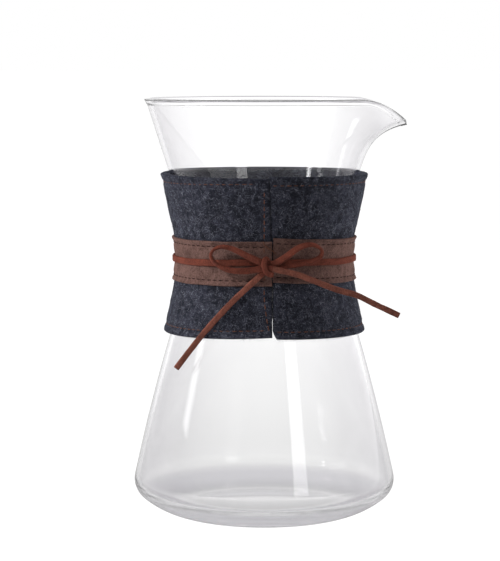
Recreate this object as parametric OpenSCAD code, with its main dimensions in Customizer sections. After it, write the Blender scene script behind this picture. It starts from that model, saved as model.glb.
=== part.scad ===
// Hourglass pour-over coffee carafe of clear glass, with a felt sleeve tied round its waist.
// Millimetres. +Z is up and the origin is the centre of the foot.
// The beak spout points along +X, and the sleeve's slit and bow face -Y.

/* [Glass carafe] */
// Height of the rim above the table
carafe_h = 191; // [184:0.5:200]
// Largest outer radius, at the heel
base_r = 60; // [56:0.5:66]
// Corner radius of the heel
heel_r = 9.5; // [7:0.5:12]
// Turn of the heel's corner below its widest point, in degrees
heel_turn = 50; // [44:1:56]
// Radius of the rounded underside between heel and foot
underside_r = 38; // [32:1:44]
// Thickness of the glass wall
wall_t = 2; // [1.6:0.1:2.6]
// Thickness of the glass at the foot
foot_t = 3.6; // [2.8:0.1:5]
// Lean of the chamber wall just above the heel, in degrees
heel_lean = 12; // [9:0.5:15]
// Outer radius of the glass where the sleeve's lower edge sits
seat_r = 42.75; // [40:0.25:46]
// Height of that seat
seat_z = 84.9; // [80:0.5:90]
// Lean of the glass at that seat, in degrees
seat_lean = 16.7; // [14:0.5:19]
// Outer radius of the waist
waist_r = 35.6; // [33:0.2:37]
// Height of the waist
waist_z = 122; // [118:0.5:126]
// Outer radius of the funnel at the rim
rim_r = 54.2; // [51:0.2:58]
// Lean of the funnel, in degrees
funnel_lean = 17.7; // [16:0.1:19]
// Height of the funnel's straight part
funnel_h = 41; // [38:0.5:44]
// Outward flare of the rim
rim_flare = 0.5; // [0:0.1:1.2]
// Height of that flare
rim_flare_h = 3; // [2:0.5:6]

/* [Spout] */
// Reach of the spout's tip beyond the rim
spout_reach = 10.1; // [6:0.1:14]
// Drop of the spout's tip below the rim
spout_drop = 11.7; // [8:0.1:15]
// Height of the pulled-out part of the funnel
spout_h = 31; // [27:0.5:33]
// Angle to each side of the tip where the rim starts to dip, in degrees
spout_spread = 36; // [28:2:46]
// How sharply the beak narrows towards its tip
spout_sharpness = 2.5; // [1.6:0.1:3.2]
// Angle over which the tip is rounded, in degrees
spout_nose = 3; // [1:0.5:6]

/* [Felt sleeve] */
// Height of the sleeve
sleeve_h = 72.3; // [66:0.1:76]
// Thickness of the felt
felt_t = 3.3; // [2.4:0.1:4]
// Gap from the glass at the sleeve's lower edge
seat_gap = 0.4; // [0.3:0.1:1]
// Gap from the glass at the waist
waist_gap = 0.8; // [0.4:0.1:2]
// Gap from the glass at the sleeve's upper edge
collar_gap = 0.9; // [0.4:0.1:2]
// Bulge of the felt off the glass below the belt
bulge_low = 0.9; // [0:0.1:2]
// Bulge of the felt off the glass above the belt
bulge_high = 1.5; // [0:0.1:3]
// Distance of the hem stitches from the felt's edge
hem_w = 3.6; // [2.6:0.1:5]
// Rounding of the felt's outer edges
felt_edge_r = 1.1; // [0.4:0.1:1.4]
// Width of the slit where its edges nearly meet
slit_gap = 0.6; // [0.3:0.1:2]
// Extra width of the slit at the sleeve's lower edge
slit_spread = 2.1; // [0:0.1:4]

/* [Suede belt] */
// Width of the belt
belt_w = 19.8; // [16:0.2:24]
// Thickness of the belt
belt_t = 1.3; // [0.8:0.1:2]
// Height of the belt's middle above the sleeve's lower edge
belt_h = 33; // [30:0.5:37]
// Rise of the belt's left end at the slit
belt_rise_left = 1.2; // [0:0.1:3]
// Rise of the belt's right end at the slit
belt_rise_right = 2.9; // [0:0.1:4]
// Clearance between the belt and the felt
belt_gap = 0.15; // [0.1:0.05:0.4]

/* [Stitches] */
// Thickness of the sewing thread
thread_d = 0.7; // [0.4:0.1:1]
// Length of one stitch
stitch_l = 2; // [1.4:0.1:3]
// Distance from stitch to stitch
stitch_pitch = 3.1; // [2.6:0.1:5]
// Distance of the belt's stitch rows from its edges
belt_seam_w = 2.4; // [1.6:0.1:4]
// Distance of the flap's seam from the slit
flap_seam_w = 2.6; // [1.8:0.1:4]
// Clearance between a stitch and what it is sewn to
thread_gap = 0.06; // [0.04:0.01:0.2]

/* [Lace] */
// Width of the flat lace
lace_w = 3; // [2.4:0.1:4]
// Thickness of the lace
lace_t = 1.4; // [1:0.1:1.8]
// Clearance between the lace and the belt
lace_gap = 0.15; // [0.1:0.05:0.4]
// Rise of the lace towards the knot
lace_rise = 2.1; // [0:0.1:3]

/* [Hidden] */

// Smoothness of the exact round faces
$fn = 96;

// Colours
glass_colour = [0.86, 0.88, 0.9, 0.35];
felt_colour = "#33353f";
suede_colour = "#634c46";
lace_colour = "#74402f";
hem_thread_colour = "#6b4a3d";
belt_thread_colour = "#3a2622";

// Points and curves

// Point on a cubic curve with end points a and d and handles b and c
function curve_point(a, b, c, d, t) =
    pow(1 - t, 3) * a + 3 * t * pow(1 - t, 2) * b + 3 * t * t * (1 - t) * c + pow(t, 3) * d;

// Points of that curve, in n steps
function curve(a, b, c, d, n) = [for (i = [0:n]) curve_point(a, b, c, d, i / n)];

// Points of a curve that rises from a to d with given slopes, each handle a share of the rise
function rising_curve(a, slope_a, share_a, d, slope_d, share_d) =
    let (rise = d[1] - a[1])
    curve(a, a + share_a * rise * [slope_a, 1], d - share_d * rise * [slope_d, 1], d, curve_steps);

// Points of an arc from angle a0 to angle a1
function arc(centre, r, a0, a1, n) =
    [for (i = [0:n]) let (a = a0 + (a1 - a0) * i / n) centre + r * [cos(a), sin(a)]];

function unit(v) = v / norm(v);

// Direction along a list of points at point i
function along(p, i) = unit(p[min(i + 1, len(p) - 1)] - p[max(i - 1, 0)]);

// Inward normal of an upward outline at point i
function inward(p, i) = let (d = along(p, i)) [-d[1], d[0]];

// Point at a radius, a height and an angle round the axis
function round_point(r, z, a) = [r * cos(a), r * sin(a), z];

// Glass outline, as radius and height

curve_steps = 9;
arc_steps = 6;
heel_z = underside_r * (1 - sin(heel_turn)) + heel_r * sin(heel_turn);
heel_centre = [base_r - heel_r, heel_z];
underside_centre = [heel_centre[0] + (heel_r - underside_r) * cos(heel_turn), underside_r];
foot_r = underside_centre[0];
wall_start = heel_centre + heel_r * [cos(heel_lean), sin(heel_lean)];
wall_share = 0.314;

seat_point = [seat_r, seat_z];
seat_slope = tan(seat_lean);
seat_h = 10;
neck_start = seat_point + seat_h * [-seat_slope, 1];
neck_share = 0.295;
waist_point = [waist_r, waist_z];
waist_share = 0.325;
funnel_slope = tan(funnel_lean);
cone_start_z = carafe_h - funnel_h;
cone_share = 0.357;

// Outer radius of the straight funnel at height z
function funnel_r(z) = rim_r - funnel_slope * (carafe_h - z);

cone_start = [funnel_r(cone_start_z), cone_start_z];
spout_z = carafe_h - spout_h;
spout_start = [funnel_r(spout_z), spout_z];

heel_outline = concat(
    arc(underside_centre, underside_r, -90, -heel_turn, arc_steps),
    arc(heel_centre, heel_r, -heel_turn, heel_lean, arc_steps)
);
wall_outline = concat(
    rising_curve(wall_start, -tan(heel_lean), wall_share, seat_point, -seat_slope, wall_share),
    rising_curve(neck_start, -seat_slope, neck_share, waist_point, 0, waist_share),
    rising_curve(waist_point, 0, waist_share, cone_start, funnel_slope, cone_share)
);

// Points without repeats, so that the outline has no empty edges
function distinct(p) = [for (i = [0:len(p) - 1]) if (i == 0 || norm(p[i] - p[max(i - 1, 0)]) > 0.001) p[i]];

glass_outer = distinct(concat(heel_outline, wall_outline));

// The glass thickens from the wall to the foot, over the length of the heel
heel_points = len(heel_outline);
function glass_t(i) = i >= heel_points ? wall_t : foot_t + (wall_t - foot_t) * i / heel_points;
glass_inner = [for (i = [0:len(glass_outer) - 1]) glass_outer[i] + glass_t(i) * inward(glass_outer, i)];
join_wall = wall_t / cos(funnel_lean);
rim_cap = wall_t / 2 * (cos(funnel_lean) + sin(funnel_lean));

// Funnel top, as a grid of outlines round the axis

rim_steps = 11;
rim_round = [0.2, 0.5, 0.8];
fine_step = 2;
coarse_step = 6;
join_inset = 0.08;
join_depth = 0.5;
spout_handle = 9.5;
spout_lip = [13.8, 2.8];
spout_tip = [rim_r + spout_reach, carafe_h - spout_drop];

// Share of the spout in the outline at an angle from the tip
function spout_share(a) =
    let (soft = sqrt(a * a + spout_nose * spout_nose) - spout_nose)
    pow(max(0, 1 - soft / spout_spread), spout_sharpness);

// Outer point of the plain funnel at step t from the join to the rim
function funnel_point(t) =
    let (
        z = spout_z + (spout_h - rim_cap) * t,
        up = max(0, 1 - (carafe_h - z) / rim_flare_h)
    )
    [funnel_r(z) + rim_flare * up * up, z];

// Outer point along the middle of the spout at the same step
function spout_point(t) = curve_point(
    spout_start,
    spout_start + spout_handle * [funnel_slope, 1],
    spout_tip - spout_lip,
    spout_tip,
    t
);

function top_outline(a) =
    let (share = spout_share(a))
    [for (i = [0:rim_steps]) (1 - share) * funnel_point(i / rim_steps) + share * spout_point(i / rim_steps)];

// Closed section at one angle: up the outer face, over the round rim and down the inner face,
// with its root sunk into the wall below the join
function top_section(a) =
    let (
        outer = top_outline(a),
        inner = [for (i = [0:rim_steps]) outer[i] + wall_t * inward(outer, i)],
        lift = wall_t / 2 * along(outer, rim_steps),
        root = outer[0] - join_depth * [funnel_slope, 1]
    )
    concat(
        [root - [join_inset, 0]],
        [for (i = [1:rim_steps]) outer[i]],
        [for (s = rim_round) (1 - s) * outer[rim_steps] + s * inner[rim_steps] + sin(180 * s) * lift],
        [for (i = [rim_steps:-1:1]) inner[i]],
        [root + [join_inset - join_wall, 0]]
    );

top_angles = concat(
    [for (a = [-spout_spread:fine_step:spout_spread - fine_step]) a],
    [for (a = [spout_spread:coarse_step:360 - spout_spread - coarse_step]) a]
);
function tip_angle(a) = a > 180 ? 360 - a : abs(a);

// Largest outer radius of the glass at height z, between the heel and the spout's tip
glass_radii = [for (p = wall_outline) [p[1], p[0]]];
spout_radii = [for (i = [0:rim_steps]) let (p = spout_point(i / rim_steps)) [p[1], p[0]]];
function glass_r(z) =
    z < cone_start_z ? lookup(z, glass_radii) : max(funnel_r(z), z > spout_z ? lookup(z, spout_radii) : 0);

// Triangles over rings of n points each, joined in a circle or closed by end caps
function grid_faces(rings, n, circle) = concat(
    [for (i = [0:rings - (circle ? 1 : 2)], k = [0:n - 1], half = [0, 1])
        let (
            j = (i + 1) % rings,
            m = (k + 1) % n
        )
        half == 0 ? [i * n + k, i * n + m, j * n + m] : [i * n + k, j * n + m, j * n + k]],
    circle ? [] : [for (k = [1:n - 2]) [0, k + 1, k]],
    circle ? [] : [for (k = [1:n - 2]) let (end = (rings - 1) * n) [end, end + k, end + k + 1]]
);

// Felt outline, as radius and height

sleeve_bottom = seat_z;
sleeve_top = sleeve_bottom + sleeve_h;
belt_z = sleeve_bottom + belt_h;
hem_low_z = sleeve_bottom + hem_w;
hem_high_z = sleeve_top - hem_w;

// Gap from the glass between two heights, with a bulge half way
function gap_between(z, z0, z1, gap0, gap1, bulge) =
    let (t = min(1, max(0, (z - z0) / (z1 - z0))))
    gap0 + (gap1 - gap0) * t + bulge * sin(180 * t);
function felt_gap(z) =
    z < belt_z
        ? gap_between(z, hem_low_z, belt_z, seat_gap, waist_gap, bulge_low)
        : gap_between(z, belt_z, hem_high_z, waist_gap, collar_gap, bulge_high);

felt_heights = concat(
    [sleeve_bottom],
    [for (i = [0:curve_steps]) hem_low_z + (belt_z - hem_low_z) * i / curve_steps],
    [for (i = [1:curve_steps]) belt_z + (hem_high_z - belt_z) * i / curve_steps],
    [sleeve_top]
);
felt_inner = [for (z = felt_heights) [glass_r(z) + felt_gap(z), z]];
felt_outer = [for (p = felt_inner) p + [felt_t, 0]];
felt_last = len(felt_outer) - 1;
felt_radii = [for (p = felt_outer) [p[1], p[0]]];
function felt_r(z) = lookup(z, felt_radii);

felt_profile = concat(
    arc(felt_outer[0] + [-felt_edge_r, felt_edge_r], felt_edge_r, -90, 0, arc_steps),
    [for (i = [1:felt_last - 1]) felt_outer[i]],
    arc(felt_outer[felt_last] - [felt_edge_r, felt_edge_r], felt_edge_r, 0, 90, arc_steps),
    [for (i = [felt_last:-1:0]) felt_inner[i]]
);

// Slit: its left edge leans a little, and its right edge swings away below the belt

slit_top_x = 1.7;
slit_low_x = 3.3;
slit_open_z = belt_z - belt_w / 2;
function slit_left(z) = lookup(z, [[sleeve_bottom, slit_low_x], [belt_z, slit_low_x], [sleeve_top, slit_top_x]]);
function slit_right(z) =
    slit_left(z) + slit_gap + slit_spread * max(0, (slit_open_z - z) / (slit_open_z - sleeve_bottom));
slit_cut_over = 2;
slit_heights = [sleeve_bottom - slit_cut_over, slit_open_z, belt_z, sleeve_top + slit_cut_over];
slit_depth = base_r + spout_reach;

// Angle round the axis of a place on the front, x to the right of the middle at radius r
function front_angle(x, r) = asin(x / r) - 90;

// Belt, as a strip swept round the felt from its right end to its left end

belt_steps = 72;
belt_edge = 0.4;
belt_right_angle = front_angle(slit_right(belt_z), felt_r(belt_z) + belt_t);
belt_left_angle = front_angle(slit_left(belt_z), felt_r(belt_z) + belt_t) + 360;
function strip_angle(s) = belt_right_angle + (belt_left_angle - belt_right_angle) * s;

// Rise towards the slit, over this share of the turn at each end
rise_share = 0.25;
function end_rise(s, right, left) =
    right * pow(max(0, 1 - s / rise_share), 2) + left * pow(max(0, 1 - (1 - s) / rise_share), 2);
function belt_mid(s) = belt_z + end_rise(s, belt_rise_right, belt_rise_left);
function belt_r(z) = felt_r(z) + belt_gap + belt_t;

// Section of the belt: offsets up from its middle, and out from the felt
belt_strips = 4;
function strip_up(i) = belt_w * (i / belt_strips - 0.5);
belt_section = concat(
    [[-belt_w / 2, 0], [-belt_w / 2, belt_t - belt_edge], [belt_edge - belt_w / 2, belt_t]],
    [for (i = [1:belt_strips - 1]) [strip_up(i), belt_t]],
    [[belt_w / 2 - belt_edge, belt_t], [belt_w / 2, belt_t - belt_edge], [belt_w / 2, 0]],
    [for (i = [belt_strips - 1:-1:1]) [strip_up(i), 0]]
);
belt_points = [
    for (i = [0:belt_steps], q = belt_section)
        let (z = belt_mid(i / belt_steps) + q[0])
        round_point(felt_r(z) + belt_gap + q[1], z, strip_angle(i / belt_steps))
];

// Lace turn round the belt, with bevelled corners

lace_edge = 0.3;
wrap_end = 0.012;
function lace_section(w, t) = [
    [-w / 2, t / 2 - lace_edge],
    [-w / 2 + lace_edge, t / 2],
    [w / 2 - lace_edge, t / 2],
    [w / 2, t / 2 - lace_edge],
    [w / 2, lace_edge - t / 2],
    [w / 2 - lace_edge, -t / 2],
    [lace_edge - w / 2, -t / 2],
    [-w / 2, lace_edge - t / 2]
];
lace_corners = lace_section(lace_w, lace_t);

// Radius of the middle of the lace at height z, clear of the belt across the lace's width
function wrap_r(z) = max(belt_r(z - lace_w / 2), belt_r(z), belt_r(z + lace_w / 2)) + lace_gap + lace_t / 2;
wrap_points = [
    for (i = [0:belt_steps], q = lace_corners)
        let (
            s = wrap_end + (1 - 2 * wrap_end) * i / belt_steps,
            z = belt_z + end_rise(s, lace_rise, lace_rise)
        )
        round_point(wrap_r(z) + q[1], z + q[0], strip_angle(s))
];

// Bow: routes of the lace from the knot, as chosen points measured from the front of the lace's turn

bow_origin = [0, -wrap_r(belt_z + lace_rise) - lace_t / 2, belt_z];

loop_left_route = [
    [-1, -3.4, 2.1], [-4, -3.7, 3.4], [-8, -3.9, 5.4], [-12.5, -3.7, 7.7], [-16, -2.9, 8.9],
    [-19.5, -1.5, 9.1], [-22.4, -0.1, 7.8], [-23.8, 0.7, 5.3], [-22.6, 0.5, 2.5], [-19, -0.5, 0],
    [-15, -1.5, -1.2], [-11, -2.3, -1.5], [-6, -2.9, -1.1], [-1, -3.1, -0.3]
];
loop_right_route = [
    [3.5, -3.4, 1.7], [6, -3.7, 2.9], [9.5, -3.9, 5.1], [13.5, -3.5, 8.1], [17, -2.5, 9.7],
    [20.5, -1.1, 10.1], [23.6, 0.5, 8.9], [25.2, 1.7, 6.7], [24, 1.5, 4.1], [20, 0.1, 2.5],
    [15, -1.3, 1.6], [10, -2.1, 1.1], [6, -2.5, 0.7], [3.5, -2.5, 0.3]
];
tail_left_route = [
    [-2, -2.2, -3.5], [-4, -1.9, -5.4], [-8, -1.1, -9.1], [-13.3, 0.1, -13.9], [-18, 1.2, -18.6],
    [-23, 2.7, -23.7], [-28.2, 4.4, -29.7], [-33.5, 6.5, -36.7], [-38.8, 8.9, -43.7]
];
tail_right_route = [
    [3.5, -5.2, -0.3], [7, -5.5, -1], [11, -5.3, -1.9], [15.5, -4.7, -3.3], [22.5, -2.9, -6.1],
    [29, -0.7, -8.7], [34, 1.3, -10.3], [41, 4.5, -12.1], [50, 8.5, -16.3], [59.5, 12.6, -20.9]
];
strap_route = [
    [1.4, -2.3, 5.1], [0, -4.5, 4.7], [-1.1, -5.6, 2.7], [-1, -5.9, 0.5], [0.2, -5.6, -1.7],
    [1.8, -4.5, -2.9], [3.2, -2.5, -3.3]
];

// Knot: a squeezed bundle behind its front strap
knot_centre = [1.2, -2.7, 0.9];
knot_spread = [2.2, 0, 1.9];
knot_r = 1.9;
knot_facets = 16;

// Width direction of a flat lace: across its route in the plane of the front, turned about the route
function lace_across(p, i, turn) =
    let (
        d = along(p, i),
        out = unit([0, -1, 0] - d * (d * [0, -1, 0])),
        side = cross(d, out)
    )
    side * cos(turn) + out * sin(turn);

function lace_points(route, twist) = [
    for (i = [0:len(route) - 1], q = lace_corners)
        let (
            across = lace_across(route, i, twist * i / (len(route) - 1)),
            face = cross(along(route, i), across)
        )
        bow_origin + route[i] + across * q[0] + face * q[1]
];

loop_twist = 180;

module lace_stretch(route, twist) {
    polyhedron(
        points = lace_points(route, twist),
        faces = grid_faces(len(route), len(lace_corners), false)
    );
}

// One stitch of thread between two points
module stitch(a, b) {
    v = b - a;
    translate(a)
        rotate([0, acos(v[2] / norm(v)), atan2(v[1], v[0])])
            cylinder(h = norm(v), d = thread_d, $fn = 6);
}

// Row of stitches round the axis between two angles, rising towards its ends, on a surface of one radius
module stitch_row(radius, height, a0, a1, rise_right, rise_left) {
    turn = stitch_l / radius * 180 / PI;
    count = floor((a1 - a0) / (stitch_pitch / radius * 180 / PI));
    for (i = [0:count]) {
        s = i / count;
        a = a0 + (a1 - a0) * s;
        z = height + end_rise(s, rise_right, rise_left);
        r = radius + thread_d / 2 + thread_gap;
        stitch(round_point(r, z, a - turn / 2), round_point(r, z, a + turn / 2));
    }
}

// Angles of a row that starts one seam's width right of the slit and stops a stitch short of the flap's seam
function row_start(z, r) = front_angle(slit_right(z) + flap_seam_w, r);
function row_end(z, r) = front_angle(slit_left(z) - flap_seam_w - stitch_l, r) + 360;

// Point on the flap's seam at height z, on the felt or on the belt
knot_cover = 2 * lace_w;
function seam_point(z) =
    let (
        x = slit_left(z) - flap_seam_w,
        on_belt = abs(z - belt_mid(1)) < belt_w / 2,
        r = (on_belt ? belt_r(z) : felt_r(z)) + thread_d / 2 + thread_gap
    )
    [x, -sqrt(r * r - x * x), z];

module glass_carafe() {
    color(glass_colour) {
        rotate_extrude()
            polygon(concat(
                [[0, 0]],
                glass_outer,
                [spout_start, spout_start - [join_wall, 0]],
                [for (i = [len(glass_inner) - 1:-1:0]) glass_inner[i]],
                [[0, foot_t]]
            ));
        polyhedron(
            points = [for (a = top_angles, p = top_section(tip_angle(a))) round_point(p[0], p[1], a)],
            faces = grid_faces(len(top_angles), len(top_section(0)), true)
        );
    }
}

module felt_sleeve() {
    color(felt_colour)
        difference() {
            rotate_extrude()
                polygon(felt_profile);
            rotate([90, 0, 0])
                linear_extrude(slit_depth)
                    polygon(concat(
                        [for (z = slit_heights) [slit_left(z), z]],
                        [for (i = [len(slit_heights) - 1:-1:0]) [slit_right(slit_heights[i]), slit_heights[i]]]
                    ));
        }
}

module suede_belt() {
    color(suede_colour)
        polyhedron(points = belt_points, faces = grid_faces(belt_steps + 1, len(belt_section), false));
}

// Stitch row on the felt at height z
module hem_stitches(z) {
    r = felt_r(z);
    color(hem_thread_colour)
        stitch_row(r, z, row_start(z, r), row_end(z, r), 0, 0);
}

module top_hem_stitches() {
    hem_stitches(hem_high_z);
}

module bottom_hem_stitches() {
    hem_stitches(hem_low_z);
}

// The flap's seam runs over the belt's left end, and the knot hides its middle
module flap_edge_stitches() {
    half = stitch_l / 2;
    low = hem_low_z + stitch_pitch / 2 + half;
    high = hem_high_z - stitch_pitch / 2;
    color(hem_thread_colour)
        for (z = [low:stitch_pitch:high]) {
            from_mid = abs(z - belt_mid(1));
            clear_of_edge = abs(from_mid - belt_w / 2) > half + thread_d;
            if (from_mid > knot_cover && clear_of_edge)
                stitch(seam_point(z - half), seam_point(z + half));
        }
}

// Stitch row on the belt, at a height up or down from its middle
module belt_stitches(up) {
    r = max([for (rise = [0, belt_rise_left, belt_rise_right]) belt_r(belt_z + rise + up)]);
    color(belt_thread_colour)
        stitch_row(r, belt_z + up, row_start(belt_z, r), row_end(belt_z, r), belt_rise_right, belt_rise_left);
}

module belt_upper_stitches() {
    belt_stitches(belt_w / 2 - belt_seam_w);
}

module belt_lower_stitches() {
    belt_stitches(belt_seam_w - belt_w / 2);
}

module lace_wrap() {
    color(lace_colour)
        polyhedron(points = wrap_points, faces = grid_faces(belt_steps + 1, len(lace_corners), false));
}

module lace_knot() {
    color(lace_colour) {
        hull()
            for (sx = [-1, 1], sz = [-1, 1])
                translate(bow_origin + knot_centre + [sx * knot_spread[0], 0, sz * knot_spread[2]])
                    sphere(knot_r, $fn = knot_facets);
        lace_stretch(strap_route, 0);
    }
}

module lace_loop_left() {
    color(lace_colour)
        lace_stretch(loop_left_route, loop_twist);
}

module lace_loop_right() {
    color(lace_colour)
        lace_stretch(loop_right_route, loop_twist);
}

module lace_tail_left() {
    color(lace_colour)
        lace_stretch(tail_left_route, 0);
}

module lace_tail_right() {
    color(lace_colour)
        lace_stretch(tail_right_route, 0);
}

glass_carafe();
felt_sleeve();
suede_belt();
top_hem_stitches();
bottom_hem_stitches();
flap_edge_stitches();
belt_upper_stitches();
belt_lower_stitches();
lace_wrap();
lace_knot();
lace_loop_left();
lace_loop_right();
lace_tail_left();
lace_tail_right();
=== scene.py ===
"""Pour-over glass carafe with a stitched felt sleeve, modelled and finished on its CAD frame."""

import bisect
import math
import random
from contextlib import contextmanager

import bmesh
import bpy
from bpy.props import FloatProperty, FloatVectorProperty, IntProperty, PointerProperty
from bpy.types import Operator, Panel, PropertyGroup
from mathutils import Matrix, Vector, noise


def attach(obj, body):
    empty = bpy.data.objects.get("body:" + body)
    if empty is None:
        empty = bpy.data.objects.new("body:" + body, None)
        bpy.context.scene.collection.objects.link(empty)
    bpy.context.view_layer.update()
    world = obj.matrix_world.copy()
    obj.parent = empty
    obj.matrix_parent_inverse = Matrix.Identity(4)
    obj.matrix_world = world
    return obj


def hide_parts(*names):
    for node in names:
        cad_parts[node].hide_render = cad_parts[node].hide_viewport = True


bl_info = {
    "name": "Felt-sleeved carafe",
    "version": (1, 0, 0),
    "blender": (4, 5, 0),
    "location": "View3D > Sidebar > Carafe",
    "description": "Models the glass, felt, suede and lace of a pour-over carafe on its CAD frame",
    "category": "Add Mesh",
}

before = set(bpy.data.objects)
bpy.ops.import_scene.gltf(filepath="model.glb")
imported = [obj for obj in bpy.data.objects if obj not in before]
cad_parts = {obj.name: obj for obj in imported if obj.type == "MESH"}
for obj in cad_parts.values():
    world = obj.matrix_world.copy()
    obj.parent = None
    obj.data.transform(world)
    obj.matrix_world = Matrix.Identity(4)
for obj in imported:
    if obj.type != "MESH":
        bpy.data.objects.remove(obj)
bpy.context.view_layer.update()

MM = 0.001

# Settings that a user would change


def length(name, description, millimetres):
    """A size, written in millimetres and held in metres."""
    size = millimetres * MM
    return FloatProperty(name=name, description=description, default=size, unit="LENGTH")


def lean(name, description, degrees):
    """An angle, written in degrees and held in radians."""
    angle = math.radians(degrees)
    return FloatProperty(name=name, description=description, default=angle, subtype="ANGLE")


def share(name, description, value):
    """A plain number, such as a share of a whole."""
    return FloatProperty(name=name, description=description, default=value, subtype="FACTOR")


def count(name, description, number):
    """A whole number."""
    return IntProperty(name=name, description=description, default=number)


def linear(code):
    """Scene colour of a screen colour written as six hexadecimal digits."""
    levels = [int(code[i : i + 2], 16) / 255 for i in (0, 2, 4)]
    return [v / 12.92 if v <= 0.04045 else ((v + 0.055) / 1.055) ** 2.4 for v in levels]


def tone(name, description, code):
    """A colour, written as it looks on screen."""
    words = {"name": name, "description": description}
    return FloatVectorProperty(**words, default=linear(code), size=3, subtype="COLOR")


class GlassSizes(PropertyGroup):
    """Sizes of the glass carafe."""

    carafe_h: length("Carafe height", "Height of the rim above the table", 191)
    base_r: length("Base radius", "Largest outer radius, at the heel", 60)
    heel_r: length("Heel corner", "Corner radius of the heel", 9.5)
    heel_turn: lean("Heel turn", "Turn of the heel's corner below its widest point", 50)
    underside_r: length("Underside radius", "Radius of the rounded underside", 38)
    wall_t: length("Wall", "Thickness of the glass wall", 2)
    foot_t: length("Foot", "Thickness of the glass at the foot", 3.6)
    heel_lean: lean("Heel lean", "Lean of the chamber wall just above the heel", 12)
    seat_r: length("Seat radius", "Outer radius where the sleeve's lower edge sits", 42.75)
    seat_z: length("Seat height", "Height of that seat", 84.9)
    seat_lean: lean("Seat lean", "Lean of the glass at that seat", 16.7)
    seat_h: length("Seat cone", "Height of the straight glass above the seat", 10)
    waist_r: length("Waist radius", "Outer radius of the waist", 35.6)
    waist_z: length("Waist height", "Height of the waist", 122)
    rim_r: length("Rim radius", "Outer radius of the funnel at the rim", 54.2)
    funnel_lean: lean("Funnel lean", "Lean of the funnel", 17.7)
    funnel_h: length("Funnel height", "Height of the funnel's straight part", 41)
    rim_flare: length("Rim flare", "Outward flare of the rim", 0.5)
    rim_flare_h: length("Flare height", "Height of that flare", 3)
    bead: length("Rim bead", "Swelling of the fire-polished rim on each face", 0.22)
    bead_h: length("Bead height", "Height of that swelling", 2.5)
    bead_step: length("Bead step", "Height over which the swelling starts", 0.2)
    rim_outer_r: length("Outer rim corner", "Rounding of the rim's outer corner", 0.1)
    rim_inner_r: length("Inner rim corner", "Rounding of the rim's inner corner", 0.15)
    spout_reach: length("Spout reach", "Reach of the spout's tip beyond the rim", 10.9)
    spout_drop: length("Spout drop", "Drop of the spout's tip below the rim", 11.7)
    spout_h: length("Spout height", "Height of the pulled-out part of the funnel", 31)
    spout_spread: lean("Spout spread", "Angle to each side of the tip where the rim starts to dip", 36)
    spout_nose: lean("Spout nose", "Angle over which the tip is rounded", 3)
    spout_sharpness: share("Spout sharpness", "How sharply the beak narrows towards its tip", 2.5)
    turns: count("Turn steps", "Faces round the glass", 240)


class SleeveSizes(PropertyGroup):
    """Sizes of the felt, the belt and their seams."""

    sleeve_h: length("Sleeve height", "Height of the felt sleeve", 72.3)
    felt_t: length("Felt", "Thickness of the felt", 3.3)
    seat_gap: length("Seat gap", "Gap from the glass at the lower edge", 0.4)
    waist_gap: length("Waist gap", "Gap from the glass at the belt", 0.8)
    collar_gap: length("Collar gap", "Gap from the glass at the upper edge", 0.9)
    bulge_low: length("Lower bulge", "Bulge of the felt off the glass below the belt", 0.6)
    bulge_high: length("Upper bulge", "Bulge of the felt off the glass above the belt", 1.5)
    hem_w: length("Hem", "Distance of the hem stitches from the felt's edge", 3.6)
    edge_r: length("Edge rounding", "Rounding of the felt's edges", 1.1)
    slit_gap: length("Slit", "Width of the slit where its edges nearly meet", 0.06)
    slit_spread: length("Slit spread", "Extra width of the slit at the lower edge", 2.7)
    slit_under: length("Slit under the belt", "Extra width of the slit under the belt", 0.1)
    slit_open_h: length("Slit opening", "Height over which the slit spreads", 5)
    belt_w: length("Belt width", "Width of the suede belt", 19.8)
    belt_t: length("Belt", "Thickness of the belt", 0.95)
    belt_h: length("Belt height", "Height of the belt's middle above the sleeve's lower edge", 33.7)
    belt_gap: length("Belt gap", "Clearance between belt and felt", 0.15)
    rise_left: length("Belt rise, left", "Rise of the belt's left end at the slit", 0.6)
    rise_right: length("Belt rise, right", "Rise of the belt's right end at the slit", 2.2)
    belt_seam_w: length("Belt seam", "Distance of the belt's stitch rows from its edges", 2.4)
    flap_seam_w: length("Flap seam", "Distance of the flap's seam from the slit", 2.6)
    groove: length("Seam groove", "How deep a row of stitches draws in the felt", 0.45)
    thread_d: length("Thread", "Thickness of the sewing thread", 0.55)
    stitch_l: length("Stitch", "Length of one stitch", 2.1)
    stitch_pitch: length("Stitch pitch", "Distance from stitch to stitch", 3.1)
    fibres: count("Loose fibres", "Wool fibres on the felt's surface", 9000)


class LaceSizes(PropertyGroup):
    """Sizes of the lace."""

    lace_w: length("Lace width", "Width of the flat lace", 3)
    lace_t: length("Lace", "Thickness of the lace", 1.4)
    lace_gap: length("Lace gap", "Clearance between lace and belt", 0.15)
    lace_rise: length("Lace rise", "Rise of the lace's turn towards the knot", 1.5)


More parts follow.
